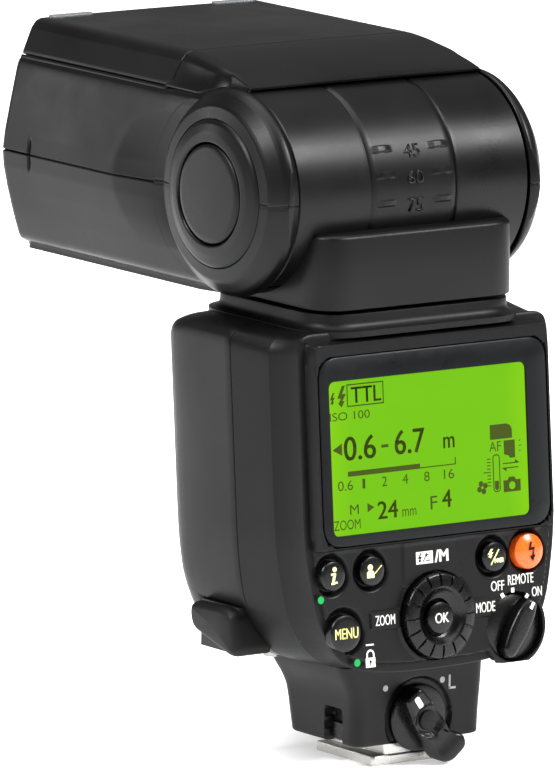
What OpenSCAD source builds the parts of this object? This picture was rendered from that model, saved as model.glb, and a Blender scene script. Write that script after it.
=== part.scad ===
// Shoe-mount camera flash: hinged, swivelling head on a body with a rear screen.
// Frame: origin at the centre of the mounting foot's sole, +X right seen from the rear,
// +Y forward (the way the lamp points), +Z up. All lengths in mm.

/* [Body] */
// Width across the body's side faces
body_w = 70; // [67:0.5:73]
// Height of the body's flat top above the foot's sole
body_top = 87.1; // [86:0.1:87.3]
// Depth from the screen face to the front
body_d = 41.5; // [41:0.1:45]
// Lean of the screen face, in degrees
face_tilt = 5.6; // [4.6:0.1:6.4]
// Thickness of the moulded shells
wall = 1.8; // [1.5:0.1:1.9]

/* [Head] */
// Y of the head's front edge
head_front = 82; // [80:0.5:94]
// Width of the head at its widest
head_w = 70.4; // [70:0.1:73]
// Height of the head's flat top above the foot's sole
head_top = 137; // [136.6:0.1:140]
// Radius of the tilt drum
drum_r = 20; // [19.4:0.1:20.1]

/* [Screen] */
// Width of the screen's dark border
screen_w = 55.4; // [52:0.1:55.6]
// Height of the screen's dark border
screen_h = 36.9; // [35:0.1:37.2]

/* [Controls] */
// Radius of the selector dial
dial_r = 8.4; // [7.8:0.1:8.6]
// Number of grip grooves round the selector dial
dial_grooves = 16; // [12:1:20]
// Radius of the three small push buttons
button_r = 2.9; // [2.5:0.1:3.2]
// Travel of the push buttons
button_travel = 0.6; // [0.3:0.1:0.6]

/* [Foot] */
// Width of the foot plate, across the shoe rails
foot_w = 18.6; // [18.3:0.05:18.7]
// Length of the foot plate
foot_l = 18.5; // [18:0.1:19.5]
// Thickness of the foot plate
foot_t = 2; // [1.9:0.05:2.1]

/* [Hidden] */
$fn = 64;
eps = 0.02;
gap = 0.15;
hw = body_w / 2;
hh = head_w / 2;
face_y = -14.3;
face_z = 70;
seam = 18.5;
pivot_y = 13.6;
pivot_z = 111.7;
swivel_y = 9.6;
drum_hw = 28;
clear_r = drum_r + 0.35;
part_z = 111.2;
step_z = 129.6;
head_floor = 90.9;
ring_top = 90.2;
neck_z = 90.7;
button_plane = 1.5;
boss_r = 7.9;
mat_y = 7.2;
board_y = 8.6;
cell_r = 7;
cell_z = -35.5;
cell_l = 50.5;
lever_z = 9.3;
rail_x = 28;
screw_x = 28.4;
screw_z = 117;
door_low = -34;
housing_z = 4.6;
housing_y = -11.5;

black = [0.09, 0.09, 0.095];
dark = [0.16, 0.16, 0.17];
grey = [0.35, 0.35, 0.36];
steel = [0.72, 0.72, 0.7];
gold = [0.85, 0.68, 0.3];

// ---- frames and 2D helpers -------------------------------------------------------------

// Children are drawn in the screen face's frame: x, y inward, z up the face.
module on_face() {
  translate([0, face_y, face_z]) rotate([-face_tilt, 0, 0]) children();
}

// An (x, z) outline made solid from y0 to y1.
module plate(y0, y1) {
  translate([0, y1, 0]) rotate([90, 0, 0]) linear_extrude(y1 - y0) children();
}

// A (y, z) outline made solid from x0 to x1.
module bar(x0, x1) {
  translate([x0, 0, 0]) rotate([90, 0, 90]) linear_extrude(x1 - x0) children();
}

// A round bar along y, from y0 to y1.
module rod_y(x, z, r, y0, y1) {
  translate([x, y0, z]) rotate([-90, 0, 0]) cylinder(r = r, h = y1 - y0);
}

// A round bar along x, from x0 to x1.
module rod_x(y, z, r, x0, x1) {
  translate([x0, y, z]) rotate([0, 90, 0]) cylinder(r = r, h = x1 - x0);
}

module rounded(w, h, r) {
  square([w - 2 * r, h], center = true);
  square([w, h - 2 * r], center = true);
  for (i = [-1, 1]) for (j = [-1, 1]) translate([i * (w / 2 - r), j * (h / 2 - r)]) circle(r);
}

function mirrored(p) = [for (i = [len(p) - 1:-1:0]) [-p[i][0], p[i][1]]];

// ---- body ------------------------------------------------------------------------------

// Plan of the body in the face's frame, inset by i.
function plan_half(i) = [
  [screen_w / 2 - 0.4 * i, i],
  [screen_w / 2 + 3.3 - 0.9 * i, 4 + 0.5 * i],
  [hw - 2 - i, 9 + 0.4 * i],
  [hw - i, 17],
  [hw - i, 30],
  [hw - 0.8 - i, body_d - 3.3 - 0.2 * i],
  [hw - 5 - 0.7 * i, body_d - 0.5 - 0.7 * i],
  [hw - 14, body_d - i]];

// Outline of the body seen from the rear, inset by i.
function face_half(i) = [
  [hw - 7 - 0.3 * i, body_top - i],
  [hw - i, body_top - 2.4 - 0.6 * i],
  [hw - i, 44],
  [hw - 1.2 - i, 34 + 0.2 * i],
  [hw - 4 - 0.9 * i, 27 + 0.5 * i],
  [hw - 8.5 - 0.7 * i, 22.6 + 0.8 * i],
  [hw - 15, 20.2 + i],
  [12, 19.7 + i]];

module body_solid(i) {
  intersection() {
    on_face() translate([0, 0, -60]) linear_extrude(90)
      polygon(concat(plan_half(i), mirrored(plan_half(i))));
    translate([0, 60, 0]) rotate([90, 0, 0]) linear_extrude(120)
      polygon(concat(face_half(i), mirrored(face_half(i))));
  }
}

// The raised seat under the neck, above the body's top.
module neck_seat() {
  translate([0, 9.5, body_top - 0.5]) linear_extrude(ring_top - body_top + 0.5)
    rounded(48.6, 39, 10);
}

// The swivel spindle's hole and the pocket for its flange.
module spindle_hole() {
  translate([0, swivel_y, body_top]) cylinder(r = 8.06, h = 10);
  translate([0, swivel_y, body_top - 5]) cylinder(r = 10.6, h = 5.6);
}

module behind_seam() {
  on_face() translate([-60, -40, -80]) cube([120, 40 + seam - 0.05, 120]);
}

module ahead_of_seam() {
  on_face() translate([-60, seam + 0.05, -80]) cube([120, 60, 120]);
}

// Centres of the round controls in the face's frame: [x, z].
info_at = [-25.3, -29.3];
remote_at = [-15.8, -29.2];
link_at = [14, -29.3];
test_at = [22.5, -29];
menu_at = [-22.8, -40.7];
dial_at = [-0.5, -39.6];
switch_at = [19, -43.6];
lcd_at = [-1.4, -6.9];
screen_at = [0, -5.6];

module face_cyl(at, r, y0, y1) {
  rod_y(at[0], at[1], r, y0, y1);
}

module rear_cover() {
  color(black) difference() {
    union() {
      intersection() {
        difference() {
          union() {
            body_solid(0);
            neck_seat();
          }
          body_solid(wall);
        }
        behind_seam();
      }
      on_face() {
        face_cyl(switch_at, boss_r, -0.6, 5);
        for (x = [-26, 26]) translate([x, 0, 12.2]) rotate([-90, 0, 0])
          cylinder(r = 2, h = board_y);
        for (x = [-26, 26]) translate([x, button_plane + 1, -34.6]) rotate([-90, 0, 0])
          cylinder(r = 1.6, h = board_y - button_plane - 1);
        translate([0, 0, screen_at[1]]) plate(0.3, 3) rounded(screen_w, screen_h, 4);
        face_cyl(dial_at, 10.2, button_plane, 5);
      }
    }
    on_face() {
      // the lower panel sits deeper than the screen
      translate([-50, -6, screen_at[1] - screen_h / 2 - 30.4]) difference() {
        cube([100, 6 + button_plane, 28]);
        translate([50 + switch_at[0], -1, switch_at[1] - screen_at[1] + screen_h / 2 + 30.4])
          rotate([-90, 0, 0]) cylinder(r = boss_r, h = 20);
      }
      // the screen's recess and opening
      translate([0, 0, screen_at[1]]) plate(-6, 1.4) rounded(screen_w, screen_h, 3.8);
      translate([lcd_at[0], 0, lcd_at[1]]) plate(-6, 9) rounded(50.4, 32.4, 2);
      // wells and holes of the controls
      for (c = [info_at, remote_at, link_at]) {
        face_cyl(c, button_r + 1.1, -6, button_plane + 0.6);
        face_cyl(c, button_r + gap, -6, 9);
      }
      face_cyl(test_at, 3.45 + 0.5, -6, button_plane + 0.4);
      face_cyl(test_at, 3.45 + gap, -6, 9);
      face_cyl(menu_at, 4.7, -6, button_plane + 0.6);
      face_cyl(menu_at, 3.6 + gap, -6, 9);
      face_cyl(dial_at, dial_r + 0.35, -6, 3.2);
      face_cyl(dial_at, 5.06, -6, 9);
      face_cyl(switch_at, 6.9, -6, 3.2);
      face_cyl(switch_at, 3.06, -6, 9);
    }
    spindle_hole();
  }
}

// The battery door's outline on the side, in the face's frame, inset by i.
module door_frame(i) {
  translate([(seam + 2 + body_d - 6) / 2, door_low + 22])
    rounded(body_d - seam - 8 - 2 * i, 44 - 2 * i, 1.5);
}

module front_cover() {
  color(black) difference() {
    intersection() {
      difference() {
        union() {
          body_solid(0);
          neck_seat();
        }
        body_solid(wall);
      }
      ahead_of_seam();
    }
    // the battery door's opening, with its hinge pin's bores above and below
    on_face() bar(hw - 6, hw + 6) door_frame(0);
    on_face() translate([hw - 0.9, body_d - 7.2, door_low - 1.5]) cylinder(r = 0.6, h = 47);
    spindle_hole();
    // windows at the front
    on_face() translate([0, body_d - 3, -4]) plate(-1, 6) rounded(31, 19, 3);
    on_face() face_cyl([-24, -22], 2.6, body_d - 9, body_d + 4);
    // opening for the terminals, low on the left side
    translate([-hw - 4, 1.5, 22.8]) cube([13.4, 12.4, 9.4]);
    // screw holes from below
    for (x = [-19, 19]) translate([x, 11, 15]) {
      cylinder(r = 1.1, h = 10);
      cylinder(r = 2, h = 5.6);
    }
  }
}

module foot_block(i) {
  intersection() {
    bar(-30, 30) polygon([[housing_y + i, housing_z], [10.4 - i, housing_z],
      [14.4 - i, 20.2], [housing_y + i, 20.2]]);
    plate(-30, 30) polygon([[-15.3 + i, housing_z], [15.3 - i, housing_z],
      [16.3 - i, 20.2], [-16.3 + i, 20.2]]);
    translate([0, 1.5, 0]) linear_extrude(40) rounded(32.8 - 2 * i, 26.2 - 2 * i, 4);
  }
}

module foot_housing() {
  color(black) difference() {
    foot_block(0);
    difference() {
      foot_block(wall);
      // floor, and the tube that carries the lever's shaft
      translate([-30, -30, 0]) cube([60, 60, housing_z + 2]);
      rod_y(0, lever_z, 4.6, -20, -3);
      for (x = [-4.2, 4.2]) for (y = screw_rows) translate([x, y, 0]) cylinder(r = 2, h = 11);
    }
    body_solid(-0.02);
    rod_y(0, lever_z, 2.56, -20, 0);
    // the window in the left side, and its inner step
    translate([-20, -7.2, housing_z - 1]) cube([6.6, 6, 8]);
    for (x = [-4.2, 4.2]) for (y = screw_rows) translate([x, y, 3]) cylinder(r = 0.8, h = 6.4);
    // the lock pin's guide
    translate([0, 6.6, 0]) cylinder(r = 1.56, h = 12);
  }
}

module mounting_foot() {
  color(steel) difference() {
    union() {
      linear_extrude(foot_t) rounded(foot_w, foot_l, 0.8);
      translate([0, 0, foot_t - eps]) linear_extrude(housing_z - foot_t + eps)
        rounded(12.4, foot_l - 0.6, 0.6);
    }
    translate([0, -1.4, -1]) linear_extrude(9) rounded(9.7, 10.1, 1);
    translate([0, 6.6, -1]) cylinder(r = 1.56, h = 10);
    for (x = [-4.2, 4.2]) for (y = screw_rows) translate([x, y, -1]) {
      cylinder(r = 0.82, h = 9);
      cylinder(r = 1.35, h = 2.1);
    }
  }
}

screw_rows = [-7.6, 6.4];
contact_spots = [[0, 0], [-3.3, -4.6], [3.3, -4.6], [-3.3, 2], [3.3, 2]];

module contact_block() {
  color(dark) difference() {
    translate([0, -1.4, 0.3]) linear_extrude(housing_z - 0.3) rounded(9.6, 10, 1);
    for (p = contact_spots)
      translate([p[0], p[1], -1]) cylinder(r = p[0] == 0 ? 1.3 : 0.75, h = 9);
  }
}

module shoe_contacts() {
  color(gold) for (p = contact_spots)
    translate([p[0], p[1], 0.12]) cylinder(r = p[0] == 0 ? 1.28 : 0.73, h = housing_z - 0.14);
}

module foot_screws() {
  color(steel) for (x = [-4.2, 4.2]) for (y = screw_rows) {
    translate([x, y, 0.3]) cylinder(r = 1.3, h = 0.78);
    translate([x, y, 1]) cylinder(r = 0.78, h = 8.2);
  }
}

module cover_screws() {
  color(steel) for (x = [-19, 19]) {
    translate([x, 11, 19.7]) cylinder(r = 1.8, h = 0.9);
    translate([x, 11, 20.5]) cylinder(r = 1.05, h = 4.5);
  }
}

module screen_bezel() {
  color(dark) on_face() difference() {
    translate([0, 0, screen_at[1]]) plate(0.1, 1.35) rounded(screen_w - 0.3, screen_h - 0.3, 3.65);
    translate([lcd_at[0], 0, lcd_at[1]]) plate(-1, 3) rounded(48, 30, 1.6);
  }
}

module lcd_panel() {
  color([0.45, 0.8, 0.02]) on_face()
    translate([lcd_at[0], 0, lcd_at[1]]) {
      plate(0.3, 1.36) rounded(47.9, 29.9, 1.5);
      plate(1.36, 2.6) rounded(50, 32, 1.8);
    }
}

module lcd_backlight() {
  color([0.9, 0.9, 0.88]) on_face()
    translate([lcd_at[0], 0, lcd_at[1]]) plate(2.62, 5.6) rounded(50, 32, 1.8);
}

module main_board() {
  color([0.05, 0.3, 0.15]) on_face() difference() {
    union() {
      plate(board_y, board_y + 1.2) translate([0, -14]) square([56, 57], center = true);
      for (x = [-20, 20]) translate([x + lcd_at[0], 5.62, 2]) cube([3, board_y - 5.6, 3]);
    }
    for (x = [-26, 26]) face_cyl([x, 12.2], 0.8, 0, 12);
    for (x = [-26, 26]) face_cyl([x, -34.6], 0.8, 0, 12);
  }
}

module button_mat() {
  color(grey) on_face() difference() {
    plate(mat_y, board_y) translate([0, -34.7]) square([54, 15.4], center = true);
    for (x = [-26, 26]) face_cyl([x, -34.6], 1.8, 0, 12);
    face_cyl(switch_at, 3.3, 0, 12);
  }
}

// A round push button: cap, and a flange that keeps it in the cover.
module push(at, r, y0) {
  on_face() {
    face_cyl(at, r, y0 + 0.35, mat_y - button_travel - 0.1);
    face_cyl(at, r - 0.35, y0, y0 + 0.4);
    face_cyl(at, r + 0.4, 4.4, 5.1);
  }
}

module info_button() { color(black) push(info_at, button_r, -0.4); }

module remote_button() { color(black) push(remote_at, button_r, -0.4); }

module link_button() { color(black) push(link_at, button_r, -0.4); }

module menu_button() { color(black) push(menu_at, 3.6, -0.2); }

module test_button() {
  color([0.95, 0.3, 0.05]) {
    push(test_at, 3.45, -0.3);
    on_face() intersection() {
      translate([test_at[0], 6.2, test_at[1]]) sphere(r = 7.2);
      face_cyl(test_at, 3.1, -2, 0.2);
    }
  }
}

module ok_button() {
  color(black) on_face() {
    face_cyl([dial_at[0], dial_at[1]], 3.2, -0.6, mat_y - button_travel - 0.1);
    face_cyl([dial_at[0], dial_at[1]], 4.2, 5.65, 6.2);
  }
}

module selector_dial() {
  color(black) on_face() difference() {
    union() {
      face_cyl(dial_at, dial_r, -1.1, 3.0);
      face_cyl(dial_at, 5, 2.9, 5.5);
    }
    face_cyl(dial_at, 3.3, -5, 9);
    // the smooth dish round the centre button
    translate([dial_at[0], -2.4, dial_at[1]]) sphere(r = 5.4);
    for (k = [0:dial_grooves - 1]) translate([dial_at[0], 0, dial_at[1]])
      rotate([0, k * 360 / dial_grooves, 0]) translate([5.6, -3, -0.2]) cube([5, 2.5, 0.4]);
  }
}

module power_switch() {
  color(black) on_face() {
    difference() {
      union() {
        face_cyl(switch_at, 6.5, -0.2, 3);
        face_cyl(switch_at, 3, 2.9, 6.2);
      }
      translate([switch_at[0], -2.6, switch_at[1]]) rotate([0, 33, 0])
        translate([2.2, 0, -7]) cube([6, 4.4, 14]);
      translate([switch_at[0], -2.6, switch_at[1]]) rotate([0, 33, 0])
        translate([-8.2, 0, -7]) cube([6, 4.4, 14]);
    }
    translate([switch_at[0], 0, switch_at[1]]) rotate([0, 33, 0]) plate(-3.2, 0)
      rounded(4.2, 12.4, 1.9);
  }
}

module flash_capacitor() {
  color([0.1, 0.12, 0.3]) on_face() translate([-11.2, 25.4, -34]) {
    cylinder(r = 12.4, h = 46);
    translate([0, 0, 46]) cylinder(r = 10, h = 1.5);
  }
}

module step_up_transformer() {
  color([0.5, 0.35, 0.1]) on_face() {
    translate([-31.5, 18, -8]) cube([7, 12, 14]);
    translate([-32.3, 20, -6]) cube([8.2, 8, 10]);
  }
}

cell_spots = [[10.2, 17.95], [24.4, 17.95], [10.2, 32.15], [24.4, 32.15]];

module aa_cells() {
  color([0.75, 0.6, 0.25]) on_face() for (k = [0:3])
    translate([cell_spots[k][0], cell_spots[k][1], cell_z]) {
      cylinder(r = cell_r, h = cell_l - 1);
      cylinder(r = 2.7, h = cell_l);
    }
}

module battery_cradle() {
  color(dark) on_face() {
    translate([2.6, 10.8, cell_z - 1.6]) cube([27, 28.2, 1.6 - eps]);
    translate([1.5, 10.8, cell_z - 1.6]) cube([1.2, 28.2, 30]);
  }
}

module battery_contacts() {
  color(gold) on_face() for (y = [17.95, 32.15])
    translate([10.2 - 3, y - 3, cell_z + cell_l]) cube([20.2, 6, 0.4]);
}

module af_lamp_window() {
  color([0.5, 0.02, 0.04]) on_face() {
    translate([0, body_d - 3, -4]) plate(1.2, 3.2) rounded(30.8, 18.8, 2.9);
    translate([0, body_d - 3, -4]) plate(0.75, 1.2) rounded(33, 21, 3.4);
  }
}

module light_sensor_window() {
  color([0.2, 0.2, 0.2]) on_face() face_cyl([-24, -22], 2.5, body_d - 4, body_d - 0.2);
}

module terminal_block() {
  color(dark) difference() {
    union() {
      translate([-hw + 0.6, 1.6, 22.9]) cube([4.8, 12.2, 9.2]);
      translate([-hw + 5.3, 2.6, 23.9]) cube([3.4, 10.2, 7.6]);
    }
    rod_x(10.6, 27.4, 2.2, -hw - 2, -hw + 6.6);
    translate([-hw - 1, 3, 24.6]) cube([7, 4.4, 5.6]);
  }
}

module terminal_cover() {
  color(black) {
    bar(-hw - 1.6, -hw + 0.5) polygon([[-0.3, 22.6], [2.8, 21.8], [7.6, 21.8], [15.6, 28.6],
      [16, 30.4], [15.2, 31.9], [6.2, 32.8], [3.6, 32.1], [1.4, 28.6]]);
    difference() {
      rod_x(10.6, 27.4, 1.8, -hw + 0.4, -hw + 1.7);
      translate([-hw + 0.5, 10.2, 20]) cube([9, 0.8, 15]);
    }
    // the hinge pin at its front edge
    translate([-hw + 0.5, 16.1, 27.5]) cylinder(r = 0.5, h = 3.6);
  }
}

module battery_door() {
  color(black) on_face() {
    intersection() {
      bar(hw - wall, hw) door_frame(0.25);
      translate([-60, -40, -80]) cube([120, 40 + body_d - 7.2, 160]);
    }
    // its hinge barrel and pin, and the finger ridges
    translate([hw - 0.9, body_d - 7.2, door_low + 1]) cylinder(r = 0.9, h = 42);
    translate([hw - 0.9, body_d - 7.2, door_low - 1.2]) cylinder(r = 0.55, h = 46.4);
    for (k = [0:3]) translate([hw - 0.1, 21.5, -16 + 2 * k]) cube([0.6, 8, 0.8]);
  }
}

module lock_lever() {
  color(black) difference() {
    union() {
      rod_y(0, lever_z, 6.3, housing_y - 2, housing_y - 0.1);
      rod_y(0, lever_z, 2.5, housing_y - 0.2, -5.2);
      translate([0, 0, lever_z]) rotate([0, -45, 0]) {
        plate(housing_y - 4.6, housing_y - 1.9) translate([0, -0.6]) rounded(6.2, 14.6, 2.4);
        translate([0, 0, -7.7]) plate(housing_y - 8.6, housing_y - 1.9) rounded(7.2, 2.6, 0.9);
      }
    }
    rod_y(0, lever_z, 2.1, -30, housing_y - 1.6);
    rod_y(0, lever_z, 1.0, -30, -4);
  }
}

module lever_push() {
  color(dark) {
    rod_y(0, lever_z, 2.0, housing_y - 4.9, housing_y - 3);
    rod_y(0, lever_z, 0.92, housing_y - 3.1, -6.5);
  }
}

module lock_pin() {
  color(steel) {
    translate([0, 6.6, 0.1]) cylinder(r = 1.5, h = 8.5);
    translate([0, 6.6, 8.5]) cylinder(r = 2, h = 1);
  }
}

// ---- neck ------------------------------------------------------------------------------

module neck_block() {
  color(black) difference() {
    translate([0, 7, neck_z]) linear_extrude(14.9) rounded(48.6, 34, 8);
    rod_x(pivot_y, pivot_z, drum_r + 0.01, -40, 40);
    // sloped shoulders, so the block narrows towards the drum
    for (s = [-1, 1]) translate([s * 24.3, 0, 108]) rotate([0, 45, 0])
      cube([7, 80, 7], center = true);
    translate([0, swivel_y, 80]) cylinder(r = 5, h = 20);
  }
}

module tilt_drum() {
  color(black) difference() {
    rod_x(pivot_y, pivot_z, drum_r, -drum_hw, drum_hw);
    rod_x(pivot_y, pivot_z, drum_r - 2.4, -drum_hw + 2.4, drum_hw - 2.4);
    rod_x(pivot_y, pivot_z, 4, -40, 40);
    // joint lines beside the angle marks
    for (x = [-10.4, 10.4]) translate([x - 0.15, pivot_y, pivot_z]) rotate([0, 90, 0])
      difference() {
        cylinder(r = drum_r + 1, h = 0.3);
        translate([0, 0, -1]) cylinder(r = drum_r - 0.3, h = 3);
      }
    // the dashes beside each angle number
    for (a = [27.2, 12.1, -3.4]) for (x = [-6.8, 6.8])
      translate([x, pivot_y, pivot_z]) rotate([-a, 0, 0])
        translate([-1.7, -drum_r - 1, -0.5]) cube([3.4, 1.25, 1]);
  }
}

module swivel_spindle() {
  color(steel) difference() {
    union() {
      translate([0, swivel_y, body_top + 0.3]) cylinder(r = 8, h = neck_z - body_top - 0.3);
      translate([0, swivel_y, body_top - 1.6]) cylinder(r = 10.3, h = 2);
    }
    translate([0, swivel_y, 80]) cylinder(r = 5, h = 20);
  }
}

module tilt_axle() {
  color(steel) rod_x(pivot_y, pivot_z, 3.98, -30.8, 30.8);
}

// ---- head ------------------------------------------------------------------------------

// Half of the head's outline seen from the front, inset by i.
function head_half(i) = [
  [27 - 0.4 * i, head_floor + i],
  [30.6 - 0.8 * i, head_floor + 2.7 + 0.6 * i],
  [hh - 1.3 - i, 103.7],
  [hh - i, part_z],
  [hh - 0.5 - i, 115],
  [hh - 3.1 - i, 127.6],
  [hh - 4.2 - i, step_z],
  [hh - 4.8 - i, step_z + 0.2],
  [hh - 6.8 - i, head_top - 1.8 - 0.4 * i],
  [hh - 8 - 0.8 * i, head_top - 0.4 - 0.9 * i],
  [hh - 9 - 0.8 * i, head_top - i]];

module head_bar(i, y0, y1) {
  plate(y0, y1) polygon(concat(head_half(i), mirrored(head_half(i))));
}

// The side profile that gives the curved slope behind the flat top.
module head_side() {
  bar(-50, 50) polygon([[head_front, 60], [head_front, head_top + 1], [31, head_top + 1],
    [31, head_top], [26, head_top - 0.4], [20, head_top - 1.6], [14, head_top - 3.1],
    [9.4, 132.3], [9.03, 131.4], [pivot_y, 128], [pivot_y, 60]]);
}

// The round hub on each side, about the tilt axis; s is -1 for left, 1 for right.
module hub(s) {
  translate([s * 28.3, pivot_y, pivot_z]) rotate([0, s * 90, 0]) rotate_extrude()
    polygon([[0, 0], [drum_r + 0.3, 0], [drum_r + 0.3, 1], [drum_r - 0.5, 2.6],
      [17, 4.6], [14.8, 5.4], [0, 5.4]]);
}

module head_solid() {
  for (s = [-1, 1]) hub(s);
  intersection() {
    head_bar(0, 6, head_front);
    head_side();
  }
}

module head_cuts() {
  // hollow of the lamp house
  head_bar(wall, 36, head_front + 1);
  // running clearance round the drum, and the way the neck passes underneath
  rod_x(pivot_y, pivot_z, clear_r, -28.3, 28.3);
  translate([-28.3, -20, 80]) cube([56.6, 50.4, 21]);
  translate([-27.5, 20, 80]) cube([55, 19, 13.6]);
  translate([-28.3, -20, 80]) cube([56.6, pivot_y + 20, 51.4]);
  // scoops ahead of the hubs
  for (s = [-1, 1]) translate([s * (hh - 1.3), pivot_y + 4.5, pivot_z]) rotate([0, s * 90, 0])
    difference() {
      cylinder(r1 = 19.5, r2 = 24, h = 4.5);
      translate([-40, -80, -1]) cube([80, 74, 8]);
    }
  // axle bores
  rod_x(pivot_y, pivot_z, 4.05, -31, 31);
  // seats of the hub rings
  for (s = [-1, 1]) translate([s * 33.2, pivot_y, pivot_z]) rotate([0, s * 90, 0])
    cylinder(r = 14.7, h = 6);
  rod_x(pivot_y, pivot_z, 9.0, -34, -31.8);
}

module above(z) { translate([-60, -40, z]) cube([120, 160, 80]); }

module below(z) { translate([-60, -40, z - 80]) cube([120, 160, 80]); }

module head_lower_shell() {
  color(black) difference() {
    head_solid();
    head_cuts();
    above(part_z - 0.04);
    translate([hh - 0.6, 73, part_z - 5]) cube([2, 0.7, 10]);
    translate([-hh - 1.4, 73, part_z - 5]) cube([2, 0.7, 10]);
  }
}

module top_zone(g) {
  translate([-60, 31 + g, step_z + 0.1 + g]) cube([120, 120, 80]);
}

module head_upper_shell() {
  color(black) difference() {
    head_solid();
    head_cuts();
    below(part_z + 0.04);
    top_zone(0);
    translate([hh - 0.6, 73, part_z - 5]) cube([2, 0.7, 6]);
    translate([-hh - 1.4, 73, part_z - 5]) cube([2, 0.7, 6]);
  }
}

module head_top_cover() {
  color(black) difference() {
    intersection() {
      difference() {
        head_bar(0, 31.05, head_front);
        head_bar(wall, 36, head_front + 1);
      }
      top_zone(0.05);
    }
    // notches for the two pull tabs
    for (s = [-1, 1]) translate([s * 20 - 5.6, head_front - 2.2, 130]) cube([11.2, 4, 20]);
  }
}

module hub_ring(s) {
  translate([s * 33.25, pivot_y, pivot_z]) rotate([0, s * 90, 0]) rotate_extrude()
    polygon([[9.95, 0], [14.6, 0], [14.6, 0.6], [13.6, 1.3], [11, 2.1], [9.95, 2.3]]);
}

module hub_rings() {
  color(black) for (s = [-1, 1]) hub_ring(s);
}

module hub_disc() {
  color(black) translate([33.25, pivot_y, pivot_z]) rotate([0, 90, 0]) rotate_extrude()
    polygon([[0, 0], [9.7, 0], [9.7, 2.4], [9.2, 2.7], [0, 2.9]]);
}

module release_button() {
  color(black) translate([-34.6, pivot_y, pivot_z]) rotate([0, -90, 0]) rotate_extrude()
    polygon([[0, -1.7], [8.6, -1.7], [8.6, 0.3], [9.7, 0.3], [9.7, 1.05], [9.2, 1.35], [0, 1.55]]);
}

module lens_bezel() {
  color(black) difference() {
    intersection() {
      head_bar(wall + 0.05, head_front - 4.5, head_front - 0.4);
      below(131.4);
    }
    translate([0, 0, 111.6]) plate(head_front - 9, head_front + 2) rounded(55, 31, 2);
    translate([0, 0, 111.6]) plate(head_front - 3.7, head_front + 2) rounded(58, 34, 2);
  }
}

module fresnel_lens() {
  color([0.85, 0.87, 0.9, 0.5]) difference() {
    translate([0, 0, 111.6]) plate(head_front - 3.6, head_front - 1.4) rounded(57.8, 33.8, 1.9);
    for (k = [-5:5]) translate([0, head_front - 1.4, 111.6 + k * 3]) rotate([45, 0, 0])
      cube([52, 0.5, 0.5], center = true);
  }
}

module zoom_rails() {
  color(steel) for (x = [-rail_x, rail_x]) rod_y(x, 103.6, 1.5, 36, head_front - 4.5);
}

module zoom_motor() {
  color(steel) {
    rod_y(screw_x, screw_z, 3.2, 36, 47);
    rod_y(screw_x, screw_z, 2, 46.9, 48);
  }
}

module lead_screw() {
  color(steel) {
    rod_y(screw_x, screw_z, 1.4, 48.1, head_front - 4.6);
    for (k = [0:11]) rod_y(screw_x, screw_z, 1.8, 51 + 2 * k, 52 + 2 * k);
  }
}

module reflector() {
  color([0.8, 0.8, 0.8]) difference() {
    union() {
      plate(60, 75) translate([0, 111.6]) square([50, 32], center = true);
      for (s = [-1, 1]) plate(62, 70) translate([s * 27, 103.6]) square([6.8, 6], center = true);
      plate(69, 72) translate([27.4, screw_z]) square([8.2, 7], center = true);
    }
    // the trough behind the tube, open to the front
    intersection() {
      rod_x(76, 111.6, 13.6, -23.6, 23.6);
      translate([-30, 60, 90]) cube([60, 20, 60]);
    }
    for (x = [-rail_x, rail_x]) rod_y(x, 103.6, 1.56, 50, 90);
    rod_y(screw_x, screw_z, 1.9, 50, 90);
    rod_x(66.5, 111.6, 2.22, -30, 30);
  }
}

module flash_tube() {
  color([0.9, 0.95, 1, 0.6]) rod_x(66.5, 111.6, 2.2, -24.9, 24.9);
}

module fan_frame() {
  color(dark) difference() {
    rod_y(0, 111.6, 13, 36, 42);
    rod_y(0, 111.6, 12.2, 37.2, 50);
    for (k = [0:2]) translate([0, 30, 111.6]) rotate([0, 120 * k, 0]) translate([3.4, 0, -3])
      cube([7.6, 20, 6]);
  }
  color(steel) rod_y(0, 111.6, 0.98, 36, 41.9);
}

module fan_rotor() {
  color(grey) difference() {
    union() {
      rod_y(0, 111.6, 4.5, 37.4, 41.8);
      for (k = [0:8]) translate([0, 37.8, 111.6]) rotate([0, 40 * k, 0])
        translate([-0.4, 0, 3]) cube([0.8, 3.6, 8.8]);
    }
    rod_y(0, 111.6, 1.05, 30, 50);
  }
}

module bounce_card() {
  color([0.95, 0.95, 0.95]) {
    translate([-24.5, 40, 133.2]) cube([39, head_front - 42.1, 0.8]);
    translate([-24.5, head_front - 2.2, 133.2]) cube([9.5, 0.3, 0.8]);
    translate([-25, head_front - 2.05, 133.2]) cube([10, 1.65, head_top - 132.7]);
  }
}

module wide_panel() {
  color([0.85, 0.88, 0.92, 0.5]) {
    translate([-26, 43, 131.5]) cube([52, head_front - 45, 0.8]);
    translate([15, head_front - 2.05, 131.5]) cube([10, 1.65, head_top - 131]);
  }
}

// ---- one call per node -----------------------------------------------------------------

rear_cover();
front_cover();
foot_housing();
mounting_foot();
contact_block();
shoe_contacts();
foot_screws();
cover_screws();
screen_bezel();
lcd_panel();
lcd_backlight();
main_board();
button_mat();
flash_capacitor();
step_up_transformer();
aa_cells();
battery_cradle();
battery_contacts();
af_lamp_window();
light_sensor_window();
terminal_block();
info_button();
remote_button();
link_button();
test_button();
menu_button();
ok_button();
selector_dial();
power_switch();
lock_lever();
lever_push();
lock_pin();
battery_door();
terminal_cover();
neck_block();
tilt_drum();
swivel_spindle();
tilt_axle();
head_top_cover();
head_upper_shell();
head_lower_shell();
hub_rings();
hub_disc();
release_button();
lens_bezel();
fresnel_lens();
zoom_rails();
zoom_motor();
lead_screw();
reflector();
flash_tube();
fan_frame();
fan_rotor();
bounce_card();
wide_panel();
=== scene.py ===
import math

import bmesh
import bpy
import numpy as np
from mathutils import Matrix, Vector


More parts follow.
